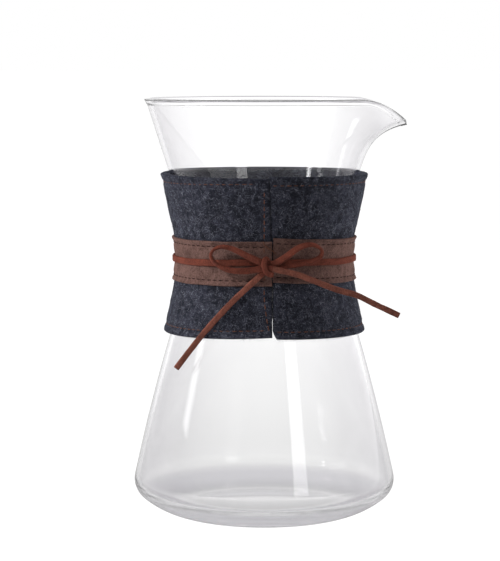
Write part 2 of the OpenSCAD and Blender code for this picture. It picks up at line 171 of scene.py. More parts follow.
class FinishColours(PropertyGroup):
    """Colours of the finishes."""

    felt_dark: tone("Felt, dark", "Darkest wool in the felt", "17181f")
    felt_mid: tone("Felt, middle", "Main wool in the felt", "2b2c36")
    felt_light: tone("Felt, light", "Pale fibres in the felt", "7f818c")
    suede: tone("Belt suede", "Main colour of the belt", "6e544e")
    suede_dark: tone("Belt suede, dark", "Brushed-down nap of the belt", "42302b")
    lace: tone("Lace suede", "Main colour of the lace", "723d31")
    lace_dark: tone("Lace suede, dark", "Brushed-down nap of the lace", "48261f")
    # Painted light: the tails are the lace's own suede, given lighter tones to stand in for the light they
    # catch
    tail: tone("Lace tails", "Main colour of the lace's tails", "834f42")
    tail_dark: tone("Lace tails, dark", "Brushed-down nap of the tails", "53332b")
    hem_thread: tone("Hem thread", "Thread of the felt's seams", "5f4034")
    flap_thread: tone("Flap thread", "Thread of the flap's seam", "6c4637")
    belt_thread: tone("Belt thread", "Thread of the belt's seams", "2a1815")
    glass: tone("Glass", "Tint of the clear glass", "fbfbfb")
    # Painted shade: a lavender grey in the heel that stands in for the dark table refracted through it
    heel_painted_shade: tone("Glass heel", "Tint of the thick glass at the heel", "c7c5cd")
    # Painted shade: a dark line under the rim's edge that stands in for the rim's refraction
    rim_painted_shade: tone("Glass rim", "Tint of the rim's edge", "928f95")
    # Painted shade: grey where the glass is seen edge on, standing in for its reflections there
    edge_painted_shade: tone("Glass edge", "Tint of the glass where it is seen edge on", "cac8cc")


class CarafeSettings(PropertyGroup):
    """All settings of the carafe."""

    glass: PointerProperty(type=GlassSizes)
    sleeve: PointerProperty(type=SleeveSizes)
    lace: PointerProperty(type=LaceSizes)
    colour: PointerProperty(type=FinishColours)


# Lace routes in millimetres, as chosen points measured from the front of the lace's turn

LOOP_LEFT = [
    (-1, -3.4, 2.1), (-4, -3.7, 3.4), (-8, -3.9, 5.4), (-12.5, -3.7, 7.7), (-16, -2.9, 8.9),
    (-19.5, -1.5, 9.1), (-22.4, -0.1, 7.8), (-23.8, 0.7, 5.3), (-22.6, 0.5, 2.5), (-19, -0.5, 0),
    (-15, -1.5, -1.2), (-11, -2.3, -1.5), (-6, -2.9, -1.1), (-1, -3.1, -0.3),
]
LOOP_RIGHT = [
    (3.5, -3.4, 1.7), (6, -3.7, 2.9), (9.5, -3.9, 5.1), (13.5, -3.5, 8.1), (17, -2.5, 9.7),
    (20.5, -1.1, 10.1), (23.6, 0.5, 8.9), (25.2, 1.7, 6.7), (24, 1.5, 4.1), (20, 0.1, 2.5),
    (15, -1.3, 1.6), (10, -2.1, 1.1), (6, -2.5, 0.7), (3.5, -2.5, 0.3),
]
TAIL_LEFT = [
    (-2, -2.2, -3.5), (-4, -1.9, -5.4), (-8, -1.1, -9.2), (-13.3, 0.1, -14.3), (-18, 1.2, -19.3),
    (-23, 2.7, -24.9), (-28.2, 4.4, -31.1), (-33.7, 6.5, -38.4), (-39.4, 8.9, -46.1),
]
TAIL_RIGHT = [
    (3.5, -5.2, -0.3), (7, -5.5, -1), (11, -5.3, -1.9), (15.5, -4.7, -3.3), (22.5, -2.9, -6.1),
    (29, -0.7, -8.9), (34, 1.3, -10.7), (41, 4.5, -13), (50, 8.5, -17.8), (59.9, 12.6, -22.8),
]
STRAP = [
    (0.9, -2.3, 3.3), (0.4, -4.3, 3.8), (-0.2, -5.5, 2.6), (-0.3, -5.9, 0.9), (0.4, -5.7, -1.1),
    (1.7, -4.9, -2.5), (3.3, -3.2, -3),
]
KNOT_CENTRE = (1.2, -2.7, 0.9)
KNOT_HALF = (2.4, 1.2, 2.4)
KNOT_STUBS = [
    [(-0.2, -3.6, 0.9), (1.4, -4.5, 0.3), (3.6, -5.2, -0.35)],
    [(0.2, -2.6, 0.6), (1.8, -3.0, 1.0), (3.6, -3.45, 1.75)],
    [(0.6, -2.2, 0.2), (2.2, -2.3, 0.2), (3.6, -2.5, 0.32)],
    [(1.4, -2.8, 1.2), (0.2, -3.1, 1.6), (-1.1, -3.45, 2.15)],
    [(1.6, -2.8, 0.1), (0.4, -3.0, -0.1), (-1.1, -3.1, -0.32)],
    [(1.2, -2.4, -0.6), (-0.4, -2.4, -2.0), (-2.1, -2.2, -3.6)],
]

# Thread end that lies over the belt, in millimetres to the right and above the belt's middle

LOOSE_END = [(-0.5, 9.4), (0.2, 8.1), (2, 6.7), (3.6, 5.7), (4.7, 4.7)]

# Unevenness of surfaces and lines, as layers of size and depth in millimetres

LACE_NAP = ((1.1, 0.05), (5, 0.1))
LACE_WANDER = ((400, 0.3),)
KNOT_FOLDS = ((2.2, 0.35),)
FELT_LUMPS = ((4.5, 0.2), (1.3, 0.12))
BELT_NAP = ((2.2, 0.1), (0.9, 0.05))
BELT_WANDER = ((350, 0.25),)

# Distance under which points of a closed strip are one

DOUBLES = 1e-7

# Camera, fitted to the photograph

CAMERA_PLACE = Vector((-0.00654, -1.0, 0.2103))
CAMERA_PITCH = math.radians(5.86)
CAMERA_LENS = 140.3
CAMERA_SENSOR = 36


# Curves and outlines


def cubic(a, b, c, d, t):
    """Point on a cubic curve with end points a and d and handles b and c."""
    s = 1 - t
    return a * s**3 + b * (3 * s * s * t) + c * (3 * s * t * t) + d * t**3


def rising_curve(start, end, steps):
    """Points of a rising curve whose ends are given as point, slope and handle, a share of the rise."""
    (a, slope_a, share_a), (d, slope_d, share_d) = start, end
    rise = d.y - a.y
    b = a + Vector((slope_a, 1)) * (share_a * rise)
    c = d - Vector((slope_d, 1)) * (share_d * rise)
    return [cubic(a, b, c, d, i / steps) for i in range(steps + 1)]


def arc(centre, radius, start, end, steps):
    """Points of an arc between two angles."""
    angles = [start + (end - start) * i / steps for i in range(steps + 1)]
    return [centre + radius * Vector((math.cos(a), math.sin(a))) for a in angles]


def smooth(t):
    """Soft step from 0 to 1."""
    t = min(1, max(0, t))
    return t * t * (3 - 2 * t)


def bump(x, width):
    """Bell of height 1 round 0."""
    return math.exp(-((x / width) ** 2))


def table_value(table, x):
    """Value at x in a sorted list of pairs, on straight lines between them."""
    i = min(max(bisect.bisect(table, (x,)), 1), len(table) - 1)
    (x0, y0), (x1, y1) = table[i - 1], table[i]
    return y0 + (y1 - y0) * min(1, max(0, (x - x0) / (x1 - x0)))


def heading(line, i):
    """Direction of a line of points at its point i."""
    return (line[min(i + 1, len(line) - 1)] - line[max(i - 1, 0)]).normalized()


def round_point(r, z, angle):
    """Point at a radius, a height and an angle round the axis."""
    return Vector((r * math.cos(angle), r * math.sin(angle), z))


class GlassShape:
    """Outline of the glass, as radius and height, and its pulled-out spout."""

    # Steps along each stretch of the outline
    foot_steps, under_steps, heel_steps = 4, 12, 16
    wall_steps, neck_steps, cone_steps, top_steps = 26, 14, 14, 26
    bead_steps, corner_steps = 6, 8
    # Handles of the wall's curves, as shares of each curve's rise
    wall_handle, neck_handle, waist_handle, cone_handle = 0.314, 0.295, 0.325, 0.357
    # How the rows crowd towards the rim
    crowding = 1.6
    # Lean of the rim's top, as a share of the funnel's lean
    rim_lean = 0.93
    # Handle of a rim corner, and the extra row beside it, both as shares of its rounding
    corner_handle, corner_guard = 0.6, 1.3
    # Upper and lower limit of the tinted band under the rim's edge, a painted shade line that stands in for
    # the rim's refraction, and the height over which each fades
    band_high, band_high_fade = 0.12 * MM, 0.1 * MM
    band_low, band_low_fade = 0.58 * MM, 0.12 * MM
    # How much of that band the spout takes away, and how soon
    spout_fade, spout_fade_rate = 0.75, 3
    # Height under which and radius past which the heel is made rougher and tinted with painted shade, and
    # the widths over which that starts
    heel_top, heel_top_fade = 12 * MM, 5 * MM
    heel_side, heel_side_fade = 38 * MM, 8 * MM
    # Handles of the spout's curve: at its root, along the funnel, and at its tip
    root_handle = 9.5 * MM
    tip_handle = MM * Vector((13.8, 2.8))
    # Distance below the rim where the spout's rim turns level, and the distance over which it does
    level_start, level_fade = 2.8 * MM, 2 * MM

    def __init__(self, sizes):
        self.sizes = sizes
        self.slope = math.tan(sizes.funnel_lean)
        self.level = self.rim_lean * self.slope
        self.up = Vector((self.slope, 1)).normalized()
        self.inward = Vector((-self.up.y, self.up.x))
        self.cone_z = sizes.carafe_h - sizes.funnel_h
        self.spout_z = sizes.carafe_h - sizes.spout_h
        self.spout_start = Vector((self.funnel_r(self.spout_z), self.spout_z))
        cap = max(self.up.y * rise + self.up.x * depth for rise, depth in self.rim_cap())
        self.top_h = sizes.spout_h - cap
        self.top_l = self.top_h / self.up.y
        self.foot = self.heel_outline()
        self.wall = self.wall_outline()
        self.radii = sorted((p.y, p.x) for p in self.wall)

    def funnel_r(self, z):
        """Outer radius of the straight funnel at height z."""
        return self.sizes.rim_r - self.slope * (self.sizes.carafe_h - z)

    def heel_outline(self):
        """Outer points from the axis over the foot and round the heel."""
        s = self.sizes
        drop, side = math.sin(s.heel_turn), math.cos(s.heel_turn)
        heel = Vector((s.base_r - s.heel_r, s.underside_r * (1 - drop) + s.heel_r * drop))
        under = Vector((heel.x + (s.heel_r - s.underside_r) * side, s.underside_r))
        return (
            [Vector((under.x * i / self.foot_steps, 0)) for i in range(self.foot_steps)]
            + arc(under, s.underside_r, -math.pi / 2, -s.heel_turn, self.under_steps)[:-1]
            + arc(heel, s.heel_r, -s.heel_turn, s.heel_lean, self.heel_steps)
        )

    def wall_outline(self):
        """Outer points from the heel over the waist to the spout's root."""
        s = self.sizes
        seat_slope = -math.tan(s.seat_lean)
        seat = Vector((s.seat_r, s.seat_z))
        heel_end = (self.foot[-1], -math.tan(s.heel_lean), self.wall_handle)
        seat_end = (seat, seat_slope, self.wall_handle)
        neck_end = (seat + s.seat_h * Vector((seat_slope, 1)), seat_slope, self.neck_handle)
        waist_end = (Vector((s.waist_r, s.waist_z)), 0, self.waist_handle)
        cone_end = (Vector((self.funnel_r(self.cone_z), self.cone_z)), self.slope, self.cone_handle)
        return (
            rising_curve(heel_end, seat_end, self.wall_steps)
            + rising_curve(neck_end, waist_end, self.neck_steps)
            + rising_curve(waist_end, cone_end, self.cone_steps)[1:]
            + [self.spout_start]
        )

    def radius(self, z):
        """Outer radius at height z, between the heel and the rim."""
        return self.funnel_r(z) if z > self.cone_z else table_value(self.radii, z)

    def bead(self, along):
        """Swelling of the rim at a distance up the funnel's top."""
        s = self.sizes
        return s.bead * smooth((along - self.top_l + s.bead_h) / s.bead_step)

    def top_outline(self):
        """Points up the funnel's top, over its rim and down its inside, as distance up and depth."""
        s, steps = self.sizes, self.top_steps
        crease = self.top_l - s.bead_h
        rows = [self.top_l * (1 - (1 - i / steps) ** self.crowding) for i in range(1, steps + 1)]
        rows = [row for row in rows if not 0 <= row - crease <= s.bead_step]
        rows += [crease + s.bead_step * i / self.bead_steps for i in range(self.bead_steps + 1)]
        rows.sort()
        cap = [(self.top_l + rise, depth) for rise, depth in self.rim_cap()]
        outside = [(row, -self.bead(row)) for row in rows if row < cap[0][0]]
        inside = [(row, s.wall_t + self.bead(row)) for row in reversed(rows) if row < cap[-1][0]]
        return outside + cap + inside

    def rim_cap(self):
        """Points over the rim's nearly level top, from outer to inner face, as rise and depth."""
        s = self.sizes
        width = s.wall_t + 2 * s.bead
        outer, inner = Vector((0, -s.bead)), Vector((-width * self.level, s.wall_t + s.bead))
        level = (inner - outer).normalized()
        points = []
        for corner, before, after, size in (
            (outer, Vector((-1, 0)), level, s.rim_outer_r),
            (inner, -level, Vector((-1, 0)), s.rim_inner_r),
        ):
            a, d = corner + before * size, corner + after * size
            b, c = (end.lerp(corner, self.corner_handle) for end in (a, d))
            points.append(corner + before * size * self.corner_guard)
            points += [cubic(a, b, c, d, i / self.corner_steps) for i in range(self.corner_steps + 1)]
            points.append(corner + after * size * self.corner_guard)
        return [tuple(p) for p in points]

    def rim_share(self, point):
        """How much a point of the plain funnel is in the band of painted shade under the rim's edge, less
        on the spout.
        """
        offset = Vector((math.hypot(point.x, point.y), point.z)) - self.spout_start
        below = self.top_l - offset.dot(self.up) - self.level * offset.dot(self.inward)
        band = smooth((self.band_low - below) / self.band_low_fade)
        band *= smooth((below - self.band_high) / self.band_high_fade)
        spout = self.spout_fade_rate * self.spout_share(abs(math.atan2(point.y, point.x)))
        return band * (1 - self.spout_fade * min(1, spout))

    def heel_share(self, point, normal):
        """How much a point belongs to the heel's outer face, which is made rougher and carries painted
        shade.
        """
        r = math.hypot(point.x, point.y)
        if r == 0 or (normal.x * point.x + normal.y * point.y) / r < normal.z:
            return 0
        low = smooth((self.heel_top - point.z) / self.heel_top_fade)
        return low * smooth((r - self.heel_side) / self.heel_side_fade)

    def profile(self):
        """Closed outline from the foot's middle, up the outside, over the rim and down the inside."""
        s = self.sizes
        outer = self.foot + self.wall[1:]
        inner = []
        for i, point in enumerate(outer):
            d = heading(outer, i)
            thickness = s.wall_t + (s.foot_t - s.wall_t) * (1 - smooth(i / len(self.foot)))
            inner.append(point + thickness * Vector((-d.y, d.x)))
        inner[0] = Vector((0, s.foot_t))
        top = [self.spout_start + self.up * a + self.inward * d for a, d in self.top_outline()]
        return outer + top + inner[::-1]

    def spout_share(self, angle):
        """Share of the spout in the outline at an angle from its tip."""
        s = self.sizes
        soft = math.hypot(angle, s.spout_nose) - s.spout_nose
        return max(0, 1 - soft / s.spout_spread) ** s.spout_sharpness

    def top_point(self, t, spout):
        """Outer point of the funnel's top at share t of its height, with a share of the spout."""
        s = self.sizes
        z = self.spout_z + self.top_h * t
        flare = max(0, 1 - (s.carafe_h - z) / s.rim_flare_h)
        plain = Vector((self.funnel_r(z) + s.rim_flare * flare * flare, z))
        tip = Vector((s.rim_r + s.spout_reach, s.carafe_h - s.spout_drop))
        root = self.spout_start + self.root_handle * Vector((self.slope, 1))
        pulled = cubic(self.spout_start, root, tip - self.tip_handle, tip, t)
        return plain.lerp(pulled, spout)

    def pull(self, point):
        """Moves a point of the plain funnel to its place on the funnel with a spout."""
        radius, angle = math.hypot(point.x, point.y), math.atan2(point.y, point.x)
        offset = Vector((radius, point.z)) - self.spout_start
        along, depth = offset.dot(self.up), offset.dot(self.inward)
        if along <= 0 or depth < -MM:
            return point
        spout = self.spout_share(abs(angle))
        near_rim = smooth((along - self.top_l + self.level_start) / self.level_fade)
        along += spout * near_rim * self.level * (depth + self.sizes.bead)
        t = min(1, along / self.top_l)
        beyond = max(0, along - self.top_l)
        step = 0.01
        d = (self.top_point(t, spout) - self.top_point(t - step, spout)).normalized()
        place = self.top_point(t, spout) + d * beyond + Vector((-d.y, d.x)) * depth
        return round_point(place.x, place.y, angle)


class SleeveShape:
    """Faces of the felt, the belt and the lace's turn, and the seams along them."""

    # Places of the slit's left edge, to the right of the middle, at the top and from the belt down
    slit_top_x, slit_low_x = 1.7 * MM, 3.3 * MM
    # How its right edge swings away, and the height over which the slit widens under the belt
    slit_swing, slit_under_fade = 1.5, 3 * MM
    # Share of the turn over which edges and rows rise towards the slit, and their rises, right and left
    rise_share = 0.25
    top_edge, bottom_edge = (0.7 * MM, -0.2 * MM), (1.1 * MM, 1.9 * MM)
    top_row, bottom_row = (0.3 * MM, 1.4 * MM), (0.8 * MM, 1.7 * MM)
    back_rise = 0.6 * MM
    # The flap's seam: its place, and its swing to the slit over the height of its lower end
    seam_left = 0.3 * MM
    seam_swing, seam_swing_h, seam_bend = 2.4 * MM, 18 * MM, 1.7
    # How far the left flap stands in front, and the shares of the turn over which it comes forward
    flap_lift, flap_start, flap_fade = 0.45 * MM, 0.972, 0.02
    # Width of a seam's groove in the felt
    groove_w = 0.9 * MM
    # The belt's face: its crown, its lifted edges, and its dips at the seams and under the lace
    belt_crown, belt_lip = 0.1 * MM, 0.15 * MM
    seam_dip, seam_dip_w = 0.45 * MM, 1.1 * MM
    lace_dip, lace_dip_w = 0.35 * MM, 2.2 * MM
    # Drop of the bow's routes from the belt's middle
    bow_drop = 0.7 * MM

    def __init__(self, settings):
        self.sizes = settings.sleeve
        self.lace = settings.lace
        self.glass = GlassShape(settings.glass)
        self.bottom = settings.glass.seat_z
        self.top = self.bottom + self.sizes.sleeve_h
        self.belt_z = self.bottom + self.sizes.belt_h
        self.low_hem = self.bottom + self.sizes.hem_w
        self.high_hem = self.top - self.sizes.hem_w
        middle = self.felt_r(self.belt_z) + self.sizes.belt_t
        self.start = self.front_angle(self.slit_right(self.belt_z), middle)
        self.end = self.front_angle(self.slit_left(self.belt_z), middle) + 2 * math.pi

    def felt_gap(self, z):
        """Gap between the glass and the felt at height z."""
        s = self.sizes
        if z > self.belt_z:
            low, high, bulge = self.belt_z, self.high_hem, s.bulge_high
            low_gap, high_gap = s.waist_gap, s.collar_gap
        else:
            low, high, bulge = self.low_hem, self.belt_z, s.bulge_low
            low_gap, high_gap = s.seat_gap, s.waist_gap
        t = min(1, max(0, (z - low) / (high - low)))
        return low_gap + (high_gap - low_gap) * t + bulge * math.sin(math.pi * t)

    def felt_r(self, z):
        """Outer radius of the felt at height z."""
        return self.glass.radius(z) + self.felt_gap(z) + self.sizes.felt_t

    def belt_r(self, z):
        """Outer radius of the belt at height z."""
        return self.felt_r(z) + self.sizes.belt_gap + self.sizes.belt_t

    def wrap_r(self, z):
        """Radius of the middle of the lace's turn at height z."""
        half = self.lace.lace_w / 2
        belt = max(self.belt_r(z + up) for up in (-half, 0, half))
        return belt + self.lace.lace_gap + self.lace.lace_t / 2

    def bow_point(self, route_point):
        """Place of a point of the bow's routes."""
        front = self.wrap_r(self.belt_z + self.lace.lace_rise) + self.lace.lace_t / 2
        return Vector((0, -front, self.belt_z - self.bow_drop)) + MM * Vector(route_point)

    def slit_left(self, z):
        """Left edge of the slit, to the right of the middle."""
        low, top = self.slit_low_x, self.slit_top_x
        return table_value([(self.bottom, low), (self.belt_z, low), (self.top, top)], z)

    def slit_right(self, z):
        """Right edge of the slit, which swings away near the lower edge."""
        s = self.sizes
        swing = max(0, 1 - (z - self.bottom) / s.slit_open_h) ** self.slit_swing
        under = smooth((self.belt_z - s.belt_w / 2 - z) / self.slit_under_fade)
        return self.slit_left(z) + s.slit_gap + s.slit_under * under + s.slit_spread * swing

    @staticmethod
    def front_angle(x, r):
        """Angle round the axis of a place on the front, x to the right of the middle."""
        return math.asin(x / r) - math.pi / 2

    def turn(self, s):
        """Angle at share s of the way from the slit's right edge round the back to its left edge."""
        return self.start + (self.end - self.start) * s

    def end_rise(self, s, rises):
        """Rise towards the slit, for the right end and the left end."""
        right, left = rises
        near_right = max(0, 1 - s / self.rise_share)
        near_left = max(0, 1 - (1 - s) / self.rise_share)
        return right * near_right**2 + left * near_left**2

    def belt_mid(self, s):
        """Height of the belt's middle line."""
        return self.belt_z + self.end_rise(s, (self.sizes.rise_right, self.sizes.rise_left))

    def lace_z(self, s):
        """Height of the lace's turn."""
        return self.belt_z + self.end_rise(s, (self.lace.lace_rise, self.lace.lace_rise))

    def belt_back(self, s, z):
        """Radius of the belt's back at a share of the turn and a height."""
        return self.felt_r(z) + self.sizes.belt_gap + self.lap(s)

    def row_z(self, s, upper):
        """Height of a hem's stitch row."""
        if upper:
            return self.high_hem + self.end_rise(s, self.top_row)
        return self.low_hem + self.end_rise(s, self.bottom_row)

    def row_shares(self, z, r):
        """Shares of the turn at the middles of a row's stitches."""
        s = self.sizes
        first = self.front_angle(self.slit_right(z) + s.flap_seam_w, r)
        last = self.front_angle(self.slit_left(z) - s.flap_seam_w - s.stitch_l, r) + 2 * math.pi
        count = int((last - first) * r / s.stitch_pitch)
        angles = [first + (last - first) * i / count for i in range(count + 1)]
        return [(a - self.start) / (self.end - self.start) for a in angles]

    def seam_x(self, z):
        """Place of the flap's seam, which swings to the slit at the lower hem."""
        swing = max(0, 1 - (z - self.low_hem) / self.seam_swing_h)
        return self.seam_swing * swing**self.seam_bend - self.seam_left

    def lap(self, s):
        """How far the left flap stands in front of the right one."""
        return self.flap_lift * smooth((s - self.flap_start) / self.flap_fade)

    def felt_face(self, s, z):
        """Outer radius of the felt at a share of the turn and a height, drawn in along its seams."""
        r = self.felt_r(z) + self.lap(s)
        for upper in (False, True):
            r -= self.sizes.groove * bump(z - self.row_z(s, upper), self.groove_w)
        return r

    def belt_face(self, s, up):
        """Thickness of the belt at a share of the turn and a height from its middle."""
        sizes = self.sizes
        seam = sizes.belt_w / 2 - sizes.belt_seam_w
        lace_up = self.lace_z(s) - self.belt_mid(s)
        crown = self.belt_crown * max(0, 1 - (up / seam) ** 2)
        lip = self.belt_lip * smooth((abs(up) - seam) / sizes.belt_seam_w)
        seam_dip = self.seam_dip * bump(abs(up) - seam, self.seam_dip_w)
        lace_dip = self.lace_dip * bump(up - lace_up, self.lace_dip_w)
        return sizes.belt_t + crown + lip - seam_dip - lace_dip


# Finishes


def signs(operation):
    """Both forms of an arithmetic sign: with the value before it, and with the value after it."""
    return (
        lambda value, other: value.math(operation, value, other),
        lambda value, other: value.math(operation, other, value),
    )


class Value:
    """A shader socket that Python's arithmetic signs work on."""

    __add__, __radd__ = signs("ADD")
    __sub__, __rsub__ = signs("SUBTRACT")
    __mul__, __rmul__ = signs("MULTIPLY")

    def __init__(self, graph, socket):
        self.graph = graph
        self.socket = socket

    def math(self, operation, *values):
        """A Math node on values and numbers."""
        return self.graph.add("ShaderNodeMath", {"operation": operation}, dict(enumerate(values)))


class Graph:
    """Nodes of a material or of the world."""

    def __init__(self, owner):
        owner.use_nodes = True
        self.tree = owner.node_tree
        self.tree.nodes.clear()

    def add(self, kind, settings=None, sockets=None, out=0):
        """Adds a node with its settings, then the values or links of its sockets, and gives an output."""
        node = self.tree.nodes.new(kind)
        for key, value in (settings or {}).items():
            if key == "stops":
                self.set_stops(node.color_ramp, value)
            else:
                setattr(node, key, value)
        for key, value in (sockets or {}).items():
            if isinstance(value, Value):
                self.tree.links.new(value.socket, node.inputs[key])
            else:
                node.inputs[key].default_value = value
        return Value(self, node.outputs[out]) if len(node.outputs) else None

    @staticmethod
    def set_stops(ramp, stops):
        """Gives a ramp its stops, as pairs of position and grey level."""
        for position, _ in stops[len(ramp.elements) :]:
            ramp.elements.new(position)
        for element, (position, level) in zip(ramp.elements, stops):
            element.position = position
            element.color = (level, level, level, 1)

    def place(self, scale=(1, 1, 1), turn=(0, 0, 0)):
        """Object coordinates, stretched and turned."""
        coordinates = self.add("ShaderNodeTexCoord", out="Object")
        sockets = {"Vector": coordinates, "Rotation": turn, "Scale": scale}
        return self.add("ShaderNodeMapping", None, sockets)

    def noise(self, place, scale, detail=2.0, roughness=0.5, distortion=0.0):
        """Noise with features of about 1 / scale metres."""
        sockets = {"Vector": place, "Scale": scale, "Detail": detail, "Roughness": roughness}
        return self.add("ShaderNodeTexNoise", None, {**sockets, "Distortion": distortion})

    def step(self, value, low, high):
        """Soft step of a value from 0 at low to 1 at high."""
        sockets = {0: value, 1: low, 2: high, 3: 0.0, 4: 1.0}
        return self.add("ShaderNodeMapRange", {"interpolation_type": "SMOOTHSTEP"}, sockets)

    def mix(self, factor, a, b):
        """Mix of two colours."""
        return self.add("ShaderNodeMix", {"data_type": "RGBA"}, {0: factor, 6: a, 7: b}, out=2)

    def attribute(self, name):
        """A number that the piece's mesh holds at each point."""
        return self.add("ShaderNodeAttribute", {"attribute_name": name}, out="Fac")

    def bump(self, height, strength, distance):
        """Normal of a surface with a relief."""
        sockets = {"Strength": strength, "Distance": distance, "Height": height}
        return self.add("ShaderNodeBump", None, sockets)

    def finish(self, shader):
        """Sends a shader to the surface."""
        self.add("ShaderNodeOutputMaterial", None, {"Surface": shader})

    def surface(self, sockets):
        """Sends a principled shader with these sockets to the surface."""
        self.finish(self.add("ShaderNodeBsdfPrincipled", None, sockets))


def rgba(colour):
    """A colour with full alpha."""
    return (*colour, 1)


def new_finish(name):
    """An empty material and its graph."""
    material = bpy.data.materials.new(name)
    return material, Graph(material)


def glass_finish(colours):
    """Clear glass, a little wavy and rougher in its heel, with painted shade: greyer where it is seen edge
    on, cooler in its heel and darker in a line under the rim's edge.
    """
    material, graph = new_finish("clear_glass")
    facing = graph.add("ShaderNodeLayerWeight", None, {"Blend": 0.5}, out="Facing")
    heel = graph.attribute("heel") * (1 - facing)
    # Painted shade: grey where seen edge on, lavender grey in the heel and a dark line under the rim's edge
    tint = graph.mix(facing, rgba(colours.glass), rgba(colours.edge_painted_shade))
    tint = graph.mix(heel, tint, rgba(colours.heel_painted_shade))
    tint = graph.mix(graph.attribute("rim"), tint, rgba(colours.rim_painted_shade))
    waves = graph.noise(graph.place(), 28, detail=1)
    graph.surface(
        {
            "Base Color": tint,
            "Roughness": heel * 0.2,
            "IOR": 1.47,
            "Transmission Weight": 1.0,
            "Normal": graph.bump(waves, strength=0.05, distance=0.4 * MM),
        }
    )
    return material


def felt_finish(colours):
    """Wool felt of dark and pale fibres, matted in all directions."""
    material, graph = new_finish("wool_felt")
    place = graph.place()
    clouds = graph.noise(place, 110, detail=2, roughness=0.6)
    mats = graph.noise(place, 360, detail=5, roughness=0.75, distortion=1.0)
    level = graph.step(clouds * 0.35 + mats * 0.65, 0.38, 0.62)
    wool = graph.mix(level, rgba(colours.felt_dark), rgba(colours.felt_mid))
    fibres = {"detail": 3, "roughness": 0.6, "distortion": 2.5}
    lay_one = graph.noise(graph.place(scale=(1, 1, 0.3), turn=(0.5, 0.3, 0.2)), 1500, **fibres)
    lay_two = graph.noise(graph.place(scale=(0.3, 0.3, 1), turn=(0.2, -0.6, 0.4)), 1700, **fibres)
    pale = graph.step(lay_one, 0.53, 0.7) + graph.step(lay_two, 0.53, 0.7)
    pale = pale * graph.step(mats, 0.36, 0.62)
    wool = graph.mix(pale * 0.6, wool, rgba(colours.felt_light))
    relief = mats * 0.6 + lay_one * 0.25 + lay_two * 0.25
    graph.surface(
        {
            "Base Color": wool,
            "Roughness": 1.0,
            "Specular IOR Level": 0.1,
            "Sheen Weight": 0.08,
            "Sheen Roughness": 0.6,
            "Sheen Tint": rgba(colours.felt_light),
            "Normal": graph.bump(relief, strength=0.7, distance=0.35 * MM),
        }
    )
    return material


def fibre_finish(colours):
    """Single wool fibres, each of its own shade."""
    material, graph = new_finish("wool_fibres")
    shade = graph.step(graph.noise(graph.place(), 420, detail=1), 0.35, 0.68)
    wool = graph.mix(shade, rgba(colours.felt_mid), rgba(colours.felt_light))
    graph.surface({"Base Color": wool, "Roughness": 0.9, "Specular IOR Level": 0.2})
    return material


def suede_finish(name, light, dark, nap_scale):
    """Napped suede with brushed patches and a fine grain."""
    material, graph = new_finish(name)
    place = graph.place()
    patches = graph.noise(place, 190, detail=3, roughness=0.6, distortion=0.6)
    nap = graph.noise(place, nap_scale, detail=4, roughness=0.7)
    streaks = graph.noise(graph.place(scale=(1, 1, 0.25)), nap_scale * 0.7, detail=2, roughness=0.6)
    level = graph.step(patches * 0.35 + nap * 0.55 + streaks * 0.1, 0.36, 0.64)
    relief = nap * 0.85 + streaks * 0.15
    graph.surface(
        {
            "Base Color": graph.mix(level, rgba(dark), rgba(light)),
            "Roughness": 0.95,
            "Specular IOR Level": 0.15,
            "Sheen Weight": 0.12,
            "Sheen Roughness": 0.5,
            "Sheen Tint": rgba(light),
            "Normal": graph.bump(relief, strength=0.5, distance=0.2 * MM),
        }
    )
    return material


def thread_finish(name, colour):
    """Matte sewing thread, uneven along its length."""
    material, graph = new_finish(name)
    uneven = graph.step(graph.noise(graph.place(), 900, detail=2), 0.35, 0.65)
    dark = [level * 0.6 for level in colour]
    dyed = graph.mix(uneven, rgba(dark), rgba(colour))
    graph.surface({"Base Color": dyed, "Roughness": 0.85, "Specular IOR Level": 0.2})
    return material


def seen_rays(graph):
    """Three values that are 1 for rays from the camera, for mirrored rays and for rays through glass."""
    camera, glossy, through_glass = (
        graph.add("ShaderNodeLightPath", out=f"Is {kind} Ray")
        for kind in ("Camera", "Glossy", "Transmission")
    )
    return camera, glossy * (1 - through_glass), through_glass


# Modelling


def select_only(piece):
    """Makes one object the only selected one, and the active one."""
    bpy.ops.object.select_all(action="DESELECT")
    piece.select_set(True)
    bpy.context.view_layer.objects.active = piece


def name_piece(piece, name):
    """Names an object and its mesh."""
    piece.name = name
    piece.data.name = name
    return piece


def settle(piece):
    """Puts an object's place, turn and scale into its mesh."""
    select_only(piece)
    bpy.ops.object.transform_apply(location=True, rotation=True, scale=True)


def primitive(name, add, **settings):
    """A new primitive from one of Blender's operators, as the only selected object."""
    bpy.ops.object.select_all(action="DESELECT")
    add(**settings)
    return name_piece(bpy.context.object, name)


@contextmanager
def editing():
    """Edit mode on the active object."""
    bpy.ops.object.mode_set(mode="EDIT")
    yield
    bpy.ops.object.mode_set(mode="OBJECT")


def draw_line(name, points):
    """Draws a bent line through points by extruding one vertex after another."""
    piece = primitive(name, bpy.ops.mesh.primitive_plane_add, size=MM, location=points[0])
    with editing():
        bpy.ops.mesh.merge(type="CENTER")
        for a, b in zip(points, points[1:]):
            bpy.ops.mesh.extrude_region_move(TRANSFORM_OT_translate={"value": b - a})
    settle(piece)
    return piece


def close_shell(piece, distance=DOUBLES):
    """Merges doubles and turns all faces outwards."""
    select_only(piece)
    with editing():
        bpy.ops.mesh.select_all(action="SELECT")
        bpy.ops.mesh.remove_doubles(threshold=distance)
        bpy.ops.mesh.normals_make_consistent(inside=False)


def new_piece(name, points, faces):
    """A mesh object from points and faces."""
    mesh = bpy.data.meshes.new(name)
    mesh.from_pydata(points, [], faces)
    piece = bpy.data.objects.new(name, mesh)
    bpy.context.scene.collection.objects.link(piece)
    return piece


